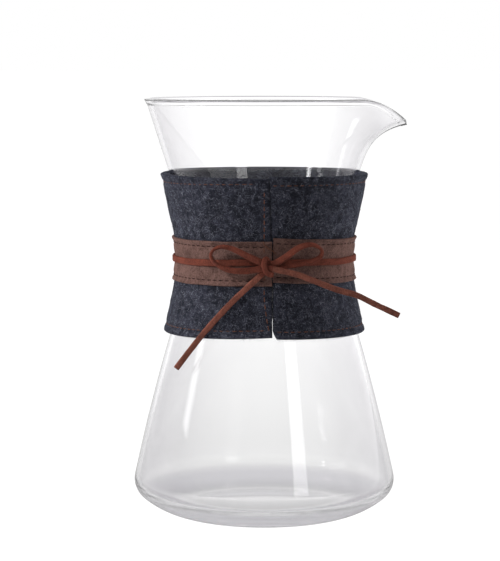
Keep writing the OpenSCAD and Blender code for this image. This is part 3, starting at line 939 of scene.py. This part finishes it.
def strip_piece(name, rings):
    """A closed strip over rings of points, with each end closed between its two faces."""
    n = len(rings[0])
    faces = []
    for i in range(len(rings) - 1):
        for k in range(n):
            m = (k + 1) % n
            faces.append((i * n + k, i * n + m, (i + 1) * n + m, (i + 1) * n + k))
    last = (len(rings) - 1) * n
    for k in range(n // 2 - 1):
        faces.append((k, n - 1 - k, n - 2 - k, k + 1))
        faces.append((last + k, last + k + 1, last + n - 2 - k, last + n - 1 - k))
    piece = new_piece(name, [p for ring in rings for p in ring], faces)
    close_shell(piece)
    return piece


def dress(piece, body, material, nodes=()):
    """Gives a piece its finish and its body, shades it smooth, and hides the CAD nodes that it stands for.
    """
    piece.data.materials.clear()
    piece.data.materials.append(material)
    select_only(piece)
    bpy.ops.object.shade_smooth_by_angle(angle=math.radians(50))
    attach(piece, body)
    if nodes:
        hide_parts(*nodes)
    return piece


def through(points, per_step):
    """Smooth line through points, with the shares of the way along it."""
    ends = [2 * points[0] - points[1], *points, 2 * points[-1] - points[-2]]
    line = []
    for i in range(len(points) - 1):
        a, b, c, d = ends[i : i + 4]
        for k in range(per_step):
            line.append(cubic(b, b + (c - a) / 6, c - (d - b) / 6, c, k / per_step))
    line.append(points[-1])
    last = len(line) - 1
    return line, [i / last for i in range(last + 1)]


def rough(point, layers):
    """Uneven height of a surface at a point, from layers of size and depth."""
    return MM * sum(depth * noise.noise(point / (MM * size)) for size, depth in layers)


def rounded_edge(radius, steps):
    """Points over a rounded edge, as distance from its end and depth below its face."""
    angles = [math.pi / 2 * i / steps for i in range(steps + 1)]
    return [(radius * (1 - math.sin(a)), radius * (1 - math.cos(a))) for a in angles]


def lace_section(width, thickness):
    """Rounded section of the flat lace, as offsets across it and out from it."""
    corner, steps = 0.45 * thickness, 4
    points = []
    for sx, sy, start in ((1, 1, 0), (-1, 1, 1), (-1, -1, 2), (1, -1, 3)):
        centre = Vector((sx * (width / 2 - corner), sy * (thickness / 2 - corner)))
        points += arc(centre, corner, start * math.pi / 2, (start + 1) * math.pi / 2, steps)
    # The list starts in the middle of a corner, so that the strip's end caps pair opposite points
    first = len(points) - 3
    return points[first:] + points[:first]


def lace_piece(name, line, acrosses, lace, squeeze=1.0):
    """Flat lace along a line, with the direction of its width at each point, and its width squeezed."""
    section = lace_section(lace.lace_w * squeeze, lace.lace_t)
    rings = []
    for i, centre in enumerate(line):
        d = heading(line, i)
        across = (acrosses[i] - d * acrosses[i].dot(d)).normalized()
        face = d.cross(across)
        places = [centre + across * q.x + face * q.y for q in section]
        rings.append([p + (p - centre).normalized() * rough(p, LACE_NAP) for p in places])
    return strip_piece(name, rings)


class CARAFE_OT_glass(Operator):
    """Spins the glass from its outline and pulls out the spout"""

    bl_idname = "carafe.glass"
    bl_label = "Glass carafe"

    doubles = 2e-6

    def execute(self, context):
        settings = context.scene.carafe
        shape = GlassShape(settings.glass)
        piece = draw_line("carafe_glass", [Vector((p.x, 0, p.y)) for p in shape.profile()])
        with editing():
            bpy.ops.mesh.select_all(action="SELECT")
            whole = {"angle": 2 * math.pi, "center": (0, 0, 0), "axis": (0, 0, 1)}
            bpy.ops.mesh.spin(steps=settings.glass.turns, **whole)
        close_shell(piece, self.doubles)
        vertices = piece.data.vertices
        shares = {
            "rim": [shape.rim_share(v.co) for v in vertices],
            "heel": [shape.heel_share(v.co, v.normal) for v in vertices],
        }
        for name, values in shares.items():
            piece.data.attributes.new(name, "FLOAT", "POINT").data.foreach_set("value", values)
        for vertex in piece.data.vertices:
            vertex.co = shape.pull(vertex.co)
        dress(piece, "carafe", glass_finish(settings.colour), ["glass_carafe"])
        piece.visible_shadow = False
        return {"FINISHED"}


class CARAFE_OT_felt(Operator):
    """Lays the felt round the waist, drawn in along its seams and slit at the front"""

    bl_idname = "carafe.felt"
    bl_label = "Felt sleeve"

    turns = 330
    rows = 84
    edge_steps = 5
    end_steps = 4
    # Rounding of the inner edges, as a share of the outer ones
    inner_edge = 0.6

    def section(self, shape):
        """Points round the felt's thickness, as height and depth, with rounded edges."""
        edge, felt = shape.sizes.edge_r, shape.sizes.felt_t
        corner = rounded_edge(edge, self.edge_steps)
        low = [(shape.bottom + up, depth) for up, depth in reversed(corner)]
        high = [(shape.top - down, depth) for down, depth in corner]
        first, last = shape.bottom + edge, shape.top - edge
        face = [(first + (last - first) * i / self.rows, 0) for i in range(1, self.rows)]
        outer = low + face + high
        return outer + [(z, felt - depth * self.inner_edge) for z, depth in reversed(outer)]

    def stations(self, shape):
        """Shares of the turn where rings stand, each with its inset near the slit."""
        girth = (shape.end - shape.start) * shape.felt_r(shape.belt_z)
        corner = rounded_edge(shape.sizes.edge_r, self.end_steps)
        ends = [(along / girth, inset) for along, inset in reversed(corner)]
        first = ends[-1][0]
        face = [(first + (1 - 2 * first) * i / self.turns, 0) for i in range(1, self.turns)]
        return ends + face + [(1 - s, inset) for s, inset in reversed(ends)]

    def execute(self, context):
        settings = context.scene.carafe
        shape = SleeveShape(settings)
        section = self.section(shape)
        rings = [self.ring(shape, section, s, inset) for s, inset in self.stations(shape)]
        piece = strip_piece("felt_wrap", rings)
        dress(piece, "sleeve", felt_finish(settings.colour), ["felt_sleeve"])
        return {"FINISHED"}

    def ring(self, shape, section, s, inset):
        """One ring of the felt, inset towards the middle of its thickness near the slit."""
        top_rise = shape.end_rise(s, shape.top_edge) + shape.back_rise * math.sin(math.pi * s) ** 4
        bottom_rise = shape.end_rise(s, shape.bottom_edge)
        ring = []
        for z, depth in section:
            if z > shape.belt_z:
                z += top_rise * (z - shape.belt_z) / (shape.top - shape.belt_z)
            else:
                z += bottom_rise * (shape.belt_z - z) / (shape.belt_z - shape.bottom)
            side = 1 - 2 * depth / shape.sizes.felt_t
            face = shape.felt_face(s, z) if side > 0 else shape.felt_r(z) + shape.lap(s)
            r = face - depth - inset * side
            right = shape.front_angle(shape.slit_right(z), r)
            left = shape.front_angle(shape.slit_left(z), r) + 2 * math.pi
            place = round_point(r, z, right + (left - right) * s)
            out = Vector((place.x, place.y, 0)).normalized() * side
            ring.append(place + out * rough(place, FELT_LUMPS))
        return ring


class CARAFE_OT_fibres(Operator):
    """Scatters loose wool fibres over the felt"""

    bl_idname = "carafe.fibres"
    bl_label = "Wool fibres"

    seed = 11
    steps = 3
    # Ranges of share of the turn, heading, bend, and reach, lift, stand and width in millimetres
    places = (0.006, 0.992)
    headings = (0, math.pi)
    bends = (-0.8, 0.8)
    reaches = (0.9, 2.8)
    lifts = (0.02, 0.1)
    stands, flat_stands, standing = (0.2, 0.8), (0, 0.12), 0.12
    widths = (0.03, 0.05)
    # Narrowing towards the tips
    taper = 0.8
    # Distances that the fibres' middles and their points keep from the felt's lower and upper edge
    keep, keep_points = (0.6 * MM, 0.4 * MM), (0.3 * MM, 0.2 * MM)

    def execute(self, context):
        settings = context.scene.carafe
        shape = SleeveShape(settings)
        draw = random.Random(self.seed)
        points, faces = [], []
        for _ in range(settings.sleeve.fibres):
            self.add_fibre(shape, draw, points, faces)
        piece = new_piece("felt_fibres", points, faces)
        dress(piece, "sleeve", fibre_finish(settings.colour))
        return {"FINISHED"}

    def add_fibre(self, shape, draw, points, faces):
        """One thin curved blade that lies on the felt, with an end that may stand off."""
        s = draw.uniform(*self.places)
        z = draw.uniform(shape.bottom + self.keep[0], shape.top - self.keep[1])
        lay = draw.uniform(*self.headings)
        reach = draw.uniform(*self.reaches) * MM
        bend = draw.uniform(*self.bends)
        lift = draw.uniform(*self.lifts) * MM
        stand = draw.uniform(*(self.stands if draw.random() < self.standing else self.flat_stands)) * MM
        width = draw.uniform(*self.widths) * MM
        if abs(z - shape.belt_mid(s)) < shape.sizes.belt_w / 2 + reach / 2:
            return
        first = len(points)
        lowest, highest = shape.bottom + self.keep_points[0], shape.top - self.keep_points[1]
        for i in range(self.steps + 1):
            t = i / self.steps
            turned = lay + bend * (t - 0.5)
            along = Vector((math.cos(turned), math.sin(turned))) * reach * (t - 0.5)
            height = min(max(z + along.y, lowest), highest)
            r = shape.felt_face(s, height) + lift + stand * t**3
            angle = shape.turn(s) + along.x / r
            half = width * (1 - self.taper * abs(2 * t - 1))
            side = Vector((-math.sin(turned), math.cos(turned))) * half
            for sign in (-1, 1):
                points.append(round_point(r, height + sign * side.y, angle + sign * side.x / r))
        for i in range(self.steps):
            k = first + 2 * i
            faces.append((k, k + 1, k + 3, k + 2))


class CARAFE_OT_belt(Operator):
    """Lays the suede belt round the felt, with drawn-in seams and lifted edges"""

    bl_idname = "carafe.belt"
    bl_label = "Suede belt"

    turns = 300
    rows = 44
    nap = 1500
    # Share of the turn that is cut off each end
    end_cut = 0.0008
    # Rounding of the edges, and the share of the thickness that is left there
    edge_r = 0.5 * MM
    edge_share = 0.35

    def execute(self, context):
        settings = context.scene.carafe
        shape = SleeveShape(settings)
        half = settings.sleeve.belt_w / 2
        rows = [half * math.sin(math.pi * (i / self.rows - 0.5)) for i in range(self.rows + 1)]
        rings = []
        for i in range(self.turns + 1):
            s = self.end_cut + (1 - 2 * self.end_cut) * i / self.turns
            rings.append(self.ring(shape, rows, half, s))
        piece = strip_piece("belt_suede", rings)
        colours = settings.colour
        finish = suede_finish("belt_suede", colours.suede, colours.suede_dark, self.nap)
        dress(piece, "sleeve", finish, ["suede_belt"])
        return {"FINISHED"}

    def ring(self, shape, rows, half, s):
        """One ring of the belt: up its face and down its back."""
        angle = shape.turn(s)
        mid = shape.belt_mid(s) + rough(round_point(1, 0, angle), BELT_WANDER)
        face, back = [], []
        for up in rows:
            z = mid + up
            base = shape.belt_back(s, z)
            past = max(0, abs(up) - half + self.edge_r) / self.edge_r
            full = self.edge_share + (1 - self.edge_share) * math.sqrt(max(0, 1 - past**2))
            place = round_point(base, z, angle)
            top = base + shape.belt_face(s, up) * full + rough(place, BELT_NAP)
            face.append(round_point(top, z, angle))
            back.append(place)
        return face + back[::-1]


class CARAFE_OT_stitches(Operator):
    """Models one twisted stitch and sews its copies along the seams"""

    bl_idname = "carafe.stitches"
    bl_label = "Stitches"

    sides = 8
    steps = 7
    # Flattening of the thread's section, and its twist from step to step
    flat = (1, 0.62, 0.95)
    twist = math.pi / 5
    # Depth of a stitch's ends, height of its arch and lift off the cloth, as shares of the thread
    sink, arch, lie = 0.4, 0.45, 0.12
    # Height from the belt's middle that the bow covers, where the flap's seam has no stitches
    bow_cover = 6 * MM
    # Lift and size of the stitches in the seam's loose end, and their steps from point to point
    loose_lift = 0.4 * MM
    loose_size = Matrix.Diagonal((0.9, 0.8, 0.8, 1))
    loose_steps = 2

    def one_stitch(self, sizes):
        """A two-ply stitch along X whose ends dip into the cloth."""
        half, steps = sizes.stitch_l / 2, self.steps
        piece = primitive(
            "one_stitch",
            bpy.ops.mesh.primitive_circle_add,
            vertices=self.sides,
            radius=sizes.thread_d / 2,
            fill_type="NGON",
            location=(-half, 0, -self.sink * sizes.thread_d),
            rotation=(0, math.pi / 2, 0),
        )
        with editing():
            bpy.ops.mesh.select_all(action="SELECT")
            bpy.ops.transform.resize(value=self.flat)
            for i in range(steps):
                rise = math.sin(math.pi * (i + 1) / steps) - math.sin(math.pi * i / steps)
                step = Vector((2 * half / steps, 0, self.arch * sizes.thread_d * rise))
                bpy.ops.mesh.extrude_region_move(TRANSFORM_OT_translate={"value": step})
                ring = [v.co for v in bmesh.from_edit_mesh(piece.data).verts if v.select]
                centre = piece.matrix_world @ (sum(ring, Vector()) / len(ring))
                bpy.ops.transform.rotate(value=self.twist, orient_axis="X", center_override=centre)
        settle(piece)
        close_shell(piece)
        return piece

    def sew(self, node, stitch, places, slot, finish):
        """Copies of the stitch at places given as matrices, in one piece for a CAD node."""
        mesh = bmesh.new()
        for place in places:
            known = len(mesh.verts)
            mesh.from_mesh(stitch.data)
            mesh.verts.ensure_lookup_table()
            bmesh.ops.transform(mesh, matrix=place, verts=mesh.verts[known:])
        piece = new_piece(node.replace("stitches", "thread"), [], [])
        mesh.to_mesh(piece.data)
        mesh.free()
        dress(piece, "sleeve", finish, [node])

    @staticmethod
    def place(a, b, out):
        """Matrix that lays a stitch from a to b with its back outwards."""
        along = (b - a).normalized()
        side = out.cross(along).normalized()
        up = along.cross(side)
        turn = Matrix((along, side, up)).transposed().to_4x4()
        return Matrix.Translation((a + b) / 2) @ turn

    def row_places(self, shares, half_turn, point):
        """Places of the stitches of a row, whose points are given by share of the turn."""
        places = []
        for s in shares:
            a, b = point(s - half_turn), point(s + half_turn)
            out = Vector((a.x + b.x, a.y + b.y, 0)).normalized()
            places.append(self.place(a, b, out))
        return places

    def execute(self, context):
        settings = context.scene.carafe
        sizes, colours = settings.sleeve, settings.colour
        shape = SleeveShape(settings)
        stitch = self.one_stitch(sizes)
        hem = thread_finish("hem_thread", colours.hem_thread)
        dark = thread_finish("belt_thread", colours.belt_thread)
        half = sizes.stitch_l / 2 / (2 * math.pi * shape.felt_r(shape.belt_z))
        lie = self.lie * sizes.thread_d

        for upper, node in ((True, "top_hem_stitches"), (False, "bottom_hem_stitches")):

            def hem_point(s, upper=upper):
                z = shape.row_z(s, upper)
                return round_point(shape.felt_face(s, z) + lie, z, shape.turn(s))

            level = shape.high_hem if upper else shape.low_hem
            shares = shape.row_shares(level, shape.felt_r(level))
            self.sew(node, stitch, self.row_places(shares, half, hem_point), "hem_thread", hem)

        shares = shape.row_shares(shape.belt_z, shape.belt_r(shape.belt_z))
        for sign, node in ((1, "belt_upper_stitches"), (-1, "belt_lower_stitches")):

            def belt_point(s, up=sign * (sizes.belt_w / 2 - sizes.belt_seam_w)):
                z = shape.belt_mid(s) + up
                r = shape.belt_back(s, z) + shape.belt_face(s, up) + lie
                return round_point(r, z, shape.turn(s))

            self.sew(node, stitch, self.row_places(shares, half, belt_point), "belt_thread", dark)

        flap = thread_finish("flap_thread", colours.flap_thread)
        places = self.flap_places(shape, lie) + self.loose_places(shape)
        self.sew("flap_edge_stitches", stitch, places, "hem_thread", flap)
        bpy.data.objects.remove(stitch)
        return {"FINISHED"}

    @staticmethod
    def front_point(x, r, z):
        """Point on the front, x to the right of the middle, at a radius and a height."""
        return Vector((x, -math.sqrt(r * r - x * x), z))

    def flap_places(self, shape, lie):
        """Places of the stitches up the left flap, over the belt's end."""
        sizes = shape.sizes
        half = sizes.stitch_l / 2
        mid = shape.belt_mid(1)

        def seam_point(z):
            r = shape.felt_r(z) + shape.lap(1) + lie
            if abs(z - mid) < sizes.belt_w / 2:
                r += sizes.belt_gap + shape.belt_face(1, z - mid)
            return self.front_point(shape.seam_x(z), r, z)

        places = []
        z = shape.low_hem + sizes.stitch_pitch / 2 + half
        while z < shape.high_hem - sizes.stitch_pitch / 2:
            from_mid = abs(z - mid)
            if from_mid > self.bow_cover and abs(from_mid - sizes.belt_w / 2) > half:
                a, b = seam_point(z - half), seam_point(z + half)
                places.append(self.place(a, b, Vector((a.x, a.y, 0)).normalized()))
            z += sizes.stitch_pitch
        return places

    def loose_places(self, shape):
        """Places of the stitches that stand for the seam's loose end over the belt."""
        mid = shape.belt_mid(1)
        line = []
        for x, up in LOOSE_END:
            z = mid + MM * up
            r = shape.belt_r(z) + shape.lap(1) + self.loose_lift
            line.append(self.front_point(MM * x, r, z))
        line = through(line, self.loose_steps)[0]
        front = Vector((0, -1, 0))
        return [self.place(a, b, front) @ self.loose_size for a, b in zip(line, line[1:])]


class CARAFE_OT_lace(Operator):
    """Lays the lace's turn, ties its knot, and runs its loops and tails"""

    bl_idname = "carafe.lace"
    bl_label = "Lace and bow"

    nap = 2300
    # Turn of the lace about its line over a loop, and widths of the tails and in the knot, as shares
    loop_twist = math.pi
    tail_squeeze, knot_squeeze = 0.88, 0.85
    # Steps from point to point of a route
    bow_steps, knot_steps = 6, 7
    # The turn round the belt: its steps, the share of it left out at each end, and its sink into the nap
    turn_steps = 260
    turn_gap = 0.012
    turn_sink = 0.45 * MM
    # Rounding of the knot's bundle
    knot_r = 1.4 * MM

    def execute(self, context):
        settings = context.scene.carafe
        shape = SleeveShape(settings)
        colours = settings.colour
        finish = suede_finish("lace_suede", colours.lace, colours.lace_dark, self.nap)
        # The tails get a lighter copy of the lace's suede, as painted light
        tail_painted_light_finish = suede_finish("tail_suede_painted_light", colours.tail, colours.tail_dark, self.nap)
        self.turn(shape, finish)
        self.knot(shape, finish)
        loop = (self.loop_twist, 1, finish, "object")
        tail = (0, self.tail_squeeze, tail_painted_light_finish, "bare")
        stretches = (
            ("left_loop", "lace_loop_left", LOOP_LEFT, *loop),
            ("right_loop", "lace_loop_right", LOOP_RIGHT, *loop),
            ("left_tail", "lace_tail_left", TAIL_LEFT, *tail),
            ("right_tail", "lace_tail_right", TAIL_RIGHT, *tail),
        )
        for name, node, route, twist, squeeze, suede, far_end in stretches:
            line, shares = through([shape.bow_point(p) for p in route], self.bow_steps)
            acrosses = self.widths(line, [twist * s for s in shares])
            piece = lace_piece(name, line, acrosses, settings.lace, squeeze)
            dress(piece, "sleeve", suede, [node])
        return {"FINISHED"}

    @staticmethod
    def widths(line, turns):
        """Directions of the lace's width: across its line as seen from the front, turned about the line."""
        front = Vector((0, -1, 0))
        directions = []
        for i, angle in enumerate(turns):
            d = heading(line, i)
            out = (front - d * d.dot(front)).normalized()
            directions.append(d.cross(out) * math.cos(angle) + out * math.sin(angle))
        return directions

    def turn(self, shape, finish):
        """The lace's turn round the belt."""
        line = []
        for i in range(self.turn_steps + 1):
            s = self.turn_gap + (1 - 2 * self.turn_gap) * i / self.turn_steps
            angle = shape.turn(s)
            z = shape.lace_z(s) + rough(round_point(1, 0, angle), LACE_WANDER)
            line.append(round_point(shape.wrap_r(z) - self.turn_sink, z, angle))
        piece = lace_piece("lace_turn", line, [Vector((0, 0, 1))] * len(line), shape.lace)
        dress(piece, "sleeve", finish, ["lace_wrap"])

    def knot(self, shape, finish):
        """The knot: a squeezed bundle of lace behind its front strap."""
        centre = shape.bow_point(KNOT_CENTRE)
        bundle = primitive("knot_bundle", bpy.ops.mesh.primitive_cube_add, size=2, location=centre)
        bundle.scale = MM * Vector(KNOT_HALF)
        settle(bundle)
        with editing():
            bpy.ops.mesh.select_all(action="SELECT")
            bpy.ops.mesh.bevel(offset=self.knot_r, segments=3)
            bpy.ops.mesh.subdivide(number_cuts=2, smoothness=0.4)
        for vertex in bundle.data.vertices:
            vertex.co += vertex.normal * rough(vertex.co, KNOT_FOLDS)
        pieces = [bundle]
        for i, route in enumerate([STRAP, *KNOT_STUBS]):
            line = through([shape.bow_point(p) for p in route], self.knot_steps)[0]
            acrosses = self.widths(line, [0] * len(line))
            pieces.append(lace_piece(f"knot_lace_{i}", line, acrosses, shape.lace, self.knot_squeeze))
        select_only(bundle)
        for piece in pieces:
            piece.select_set(True)
        bpy.ops.object.join()
        name_piece(bundle, "bow_knot")
        dress(bundle, "sleeve", finish, ["lace_knot"])


class CARAFE_OT_stage(Operator):
    """Sets up the floor, the white surround, the lamps and the camera"""

    bl_idname = "carafe.stage"
    bl_label = "Stage"

    floor_size = 60
    floor_z = -0.2 * MM
    floor_grey = 0.8
    # Light of the surround on all that is neither seen, mirrored nor seen through glass
    ambient = 0.1
    # What mirrors show: all round, and how much more the floor behind and the surround's sides show
    mirrored = 0.2
    mirrored_floor = 0.4
    mirrored_right, mirrored_left, mirrored_top, mirrored_back = 1.2, 0.3, 0.4, 0.8
    # What glass shows of the surround: low behind the carafe, above that, and before the carafe
    behind, above, before = 1.36, 0.55, 0.45
    # What glass shows of the floor, as distance from the carafe's axis in metres and level; the lower
    # levels near the axis are a painted shadow
    floor_levels = (
        (0, 0.77), (0.045, 0.85), (0.07, 1.0), (0.1, 0.98),
        (0.19, 0.97), (0.33, 1.05), (0.56, 1.11), (1, 1.36),
    )
    # The floor as the camera sees it: its level, the rise far off, and the share that takes no shadow
    floor_white, floor_far, floor_glow = 1.14, 0.05, 0.85
    # Point that the lamps face, and each lamp's name, place, size, power, and whether mirrors show it
    lamp_target = Vector((0, 0, 0.1))
    lamps = (
        ("left_lamp", (-1.2, 0.1, 0.35), (0.7, 0.7), 14, False),
        ("right_lamp", (1.1, 0.5, 0.18), (0.7, 0.3), 15.5, False),
        ("front_lamp", (-0.95, -0.9, 0.9), (0.14, 0.14), 8.3, False),
        ("top_lamp", (-0.4, -0.1, 1.5), (0.5, 0.5), 5, False),
        ("right_strip", (0.64, -1.02, 0.66), (0.3, 0.9), 2.2, True),
        ("left_strip", (-1.2, -0.12, 0.69), (0.18, 0.88), 1.4, True),
        ("high_strip", (-0.96, -0.43, 0.68), (0.1, 0.2), 0.6, True),
        ("back_strip", (-1.06, 0.6, 0.5), (0.1, 0.25), 0.25, True),
    )

    def execute(self, context):
        self.camera(context)
        self.floor()
        self.surround(context)
        for name, place, size, power, mirrored in self.lamps:
            lamp = self.lamp(context, name, Vector(place), size, power)
            lamp.visible_glossy = lamp.visible_transmission = mirrored
        cycles = context.scene.cycles
        cycles.max_bounces = cycles.transmission_bounces = cycles.glossy_bounces = 32
        context.scene.view_settings.view_transform = "Standard"
        return {"FINISHED"}

    def camera(self, context):
        """Camera at the photograph's viewing angle."""
        data = bpy.data.cameras.new("camera")
        data.lens = CAMERA_LENS
        data.sensor_width = CAMERA_SENSOR
        camera = bpy.data.objects.new("camera", data)
        camera.location = CAMERA_PLACE
        camera.rotation_euler = (math.pi / 2 - CAMERA_PITCH, 0, 0)
        context.scene.collection.objects.link(camera)
        context.scene.camera = camera

    def floor(self):
        """White floor that keeps a faint shadow, and that, seen through glass, is greyer near the carafe as
        a painted shadow.
        """
        low = (0, 0, self.floor_z)
        floor = primitive("floor", bpy.ops.mesh.primitive_plane_add, size=self.floor_size, location=low)
        material, graph = new_finish("white_floor")
        place = graph.place()
        distance = graph.add("ShaderNodeVectorMath", {"operation": "LENGTH"}, {0: place}, out="Value")
        stops = [(position, level / self.behind) for position, level in self.floor_levels]
        behind = graph.add("ShaderNodeValToRGB", {"stops": stops}, {0: distance}) * self.behind
        camera, mirror, through_glass = seen_rays(graph)
        deep = graph.add("ShaderNodeSeparateXYZ", None, {0: place}, out="Y")
        mirrored = self.mirrored + graph.step(deep, -0.08, 0.08) * self.mirrored_floor
        white = self.floor_white + graph.step(distance, 0.4, 1.5) * self.floor_far
        level = camera * white + through_glass * behind + mirror * mirrored
        glow = graph.add("ShaderNodeEmission", None, {"Color": level})
        matte = graph.add("ShaderNodeBsdfDiffuse", None, {"Color": rgba([self.floor_grey] * 3)})
        factor = camera * self.floor_glow + mirror + through_glass
        graph.finish(graph.add("ShaderNodeMixShader", None, {0: factor, 1: matte, 2: glow}))
        floor.data.materials.append(material)

    def surround(self, context):
        """White surround for what is seen, greyer in mirrors, and an even light for the rest."""
        world = bpy.data.worlds.new("white_surround")
        context.scene.world = world
        graph = Graph(world)
        camera, mirror, through_glass = seen_rays(graph)
        towards = graph.add("ShaderNodeTexCoord", out="Generated")
        aside, deep, up = (
            graph.add("ShaderNodeSeparateXYZ", None, {0: towards}, out=axis) for axis in "XYZ"
        )
        ambient = self.ambient * (0.3 + graph.step(up, 0.7, 0.0))
        mirrored = self.mirrored + graph.step(aside, 0.3, 0.8) * self.mirrored_right
        mirrored = mirrored + graph.step(aside, -0.3, -0.8) * self.mirrored_left
        mirrored = mirrored + graph.step(up, 0.5, 0.8) * self.mirrored_top
        mirrored = mirrored + graph.step(deep, 0.6, 0.95) * self.mirrored_back
        low = graph.step(up, 0.4, 0.12) * graph.step(deep, -0.1, 0.3)
        high = self.before + graph.step(deep, -0.3, 0.3) * (self.above - self.before)
        behind = high + low * (self.behind - high)
        lit = 1 - camera - through_glass - mirror
        level = camera + through_glass * behind + mirror * mirrored + lit * ambient
        light = graph.add("ShaderNodeBackground", None, {"Color": level})
        graph.add("ShaderNodeOutputWorld", None, {"Surface": light})

    def lamp(self, context, name, place, size, power):
        """Area lamp that faces the sleeve."""
        data = bpy.data.lights.new(name, "AREA")
        data.shape = "RECTANGLE"
        data.size, data.size_y = size
        data.energy = power
        lamp = bpy.data.objects.new(name, data)
        lamp.location = place
        lamp.rotation_euler = (self.lamp_target - place).to_track_quat("-Z", "Y").to_euler()
        lamp.visible_camera = False
        context.scene.collection.objects.link(lamp)
        return lamp


class CARAFE_PT_pieces(Panel):
    """Lists the carafe's pieces and settings"""

    bl_idname = "CARAFE_PT_pieces"
    bl_label = "Carafe"
    bl_space_type = "VIEW_3D"
    bl_region_type = "UI"
    bl_category = "Carafe"

    def draw(self, context):
        for operator in OPERATORS:
            self.layout.operator(operator.bl_idname)
        settings = context.scene.carafe
        for group in (settings.glass, settings.sleeve, settings.lace, settings.colour):
            box = self.layout.box()
            for name in group.__annotations__:
                box.prop(group, name)


OPERATORS = (
    CARAFE_OT_stage,
    CARAFE_OT_lace,
    CARAFE_OT_glass,
    CARAFE_OT_felt,
    CARAFE_OT_belt,
    CARAFE_OT_stitches,
    CARAFE_OT_fibres,
)
CLASSES = (
    GlassSizes,
    SleeveSizes,
    LaceSizes,
    FinishColours,
    CarafeSettings,
    *OPERATORS,
    CARAFE_PT_pieces,
)


def register():
    for cls in CLASSES:
        bpy.utils.register_class(cls)
    bpy.types.Scene.carafe = PointerProperty(type=CarafeSettings)


def unregister():
    del bpy.types.Scene.carafe
    for cls in reversed(CLASSES):
        bpy.utils.unregister_class(cls)


def main():
    """Builds every piece in order."""
    register()
    bpy.ops.carafe.stage()
    bpy.ops.carafe.lace()
    bpy.ops.carafe.glass()
    bpy.ops.carafe.felt()
    bpy.ops.carafe.belt()
    bpy.ops.carafe.stitches()
    bpy.ops.carafe.fibres()


if __name__ == "__main__":
    main()
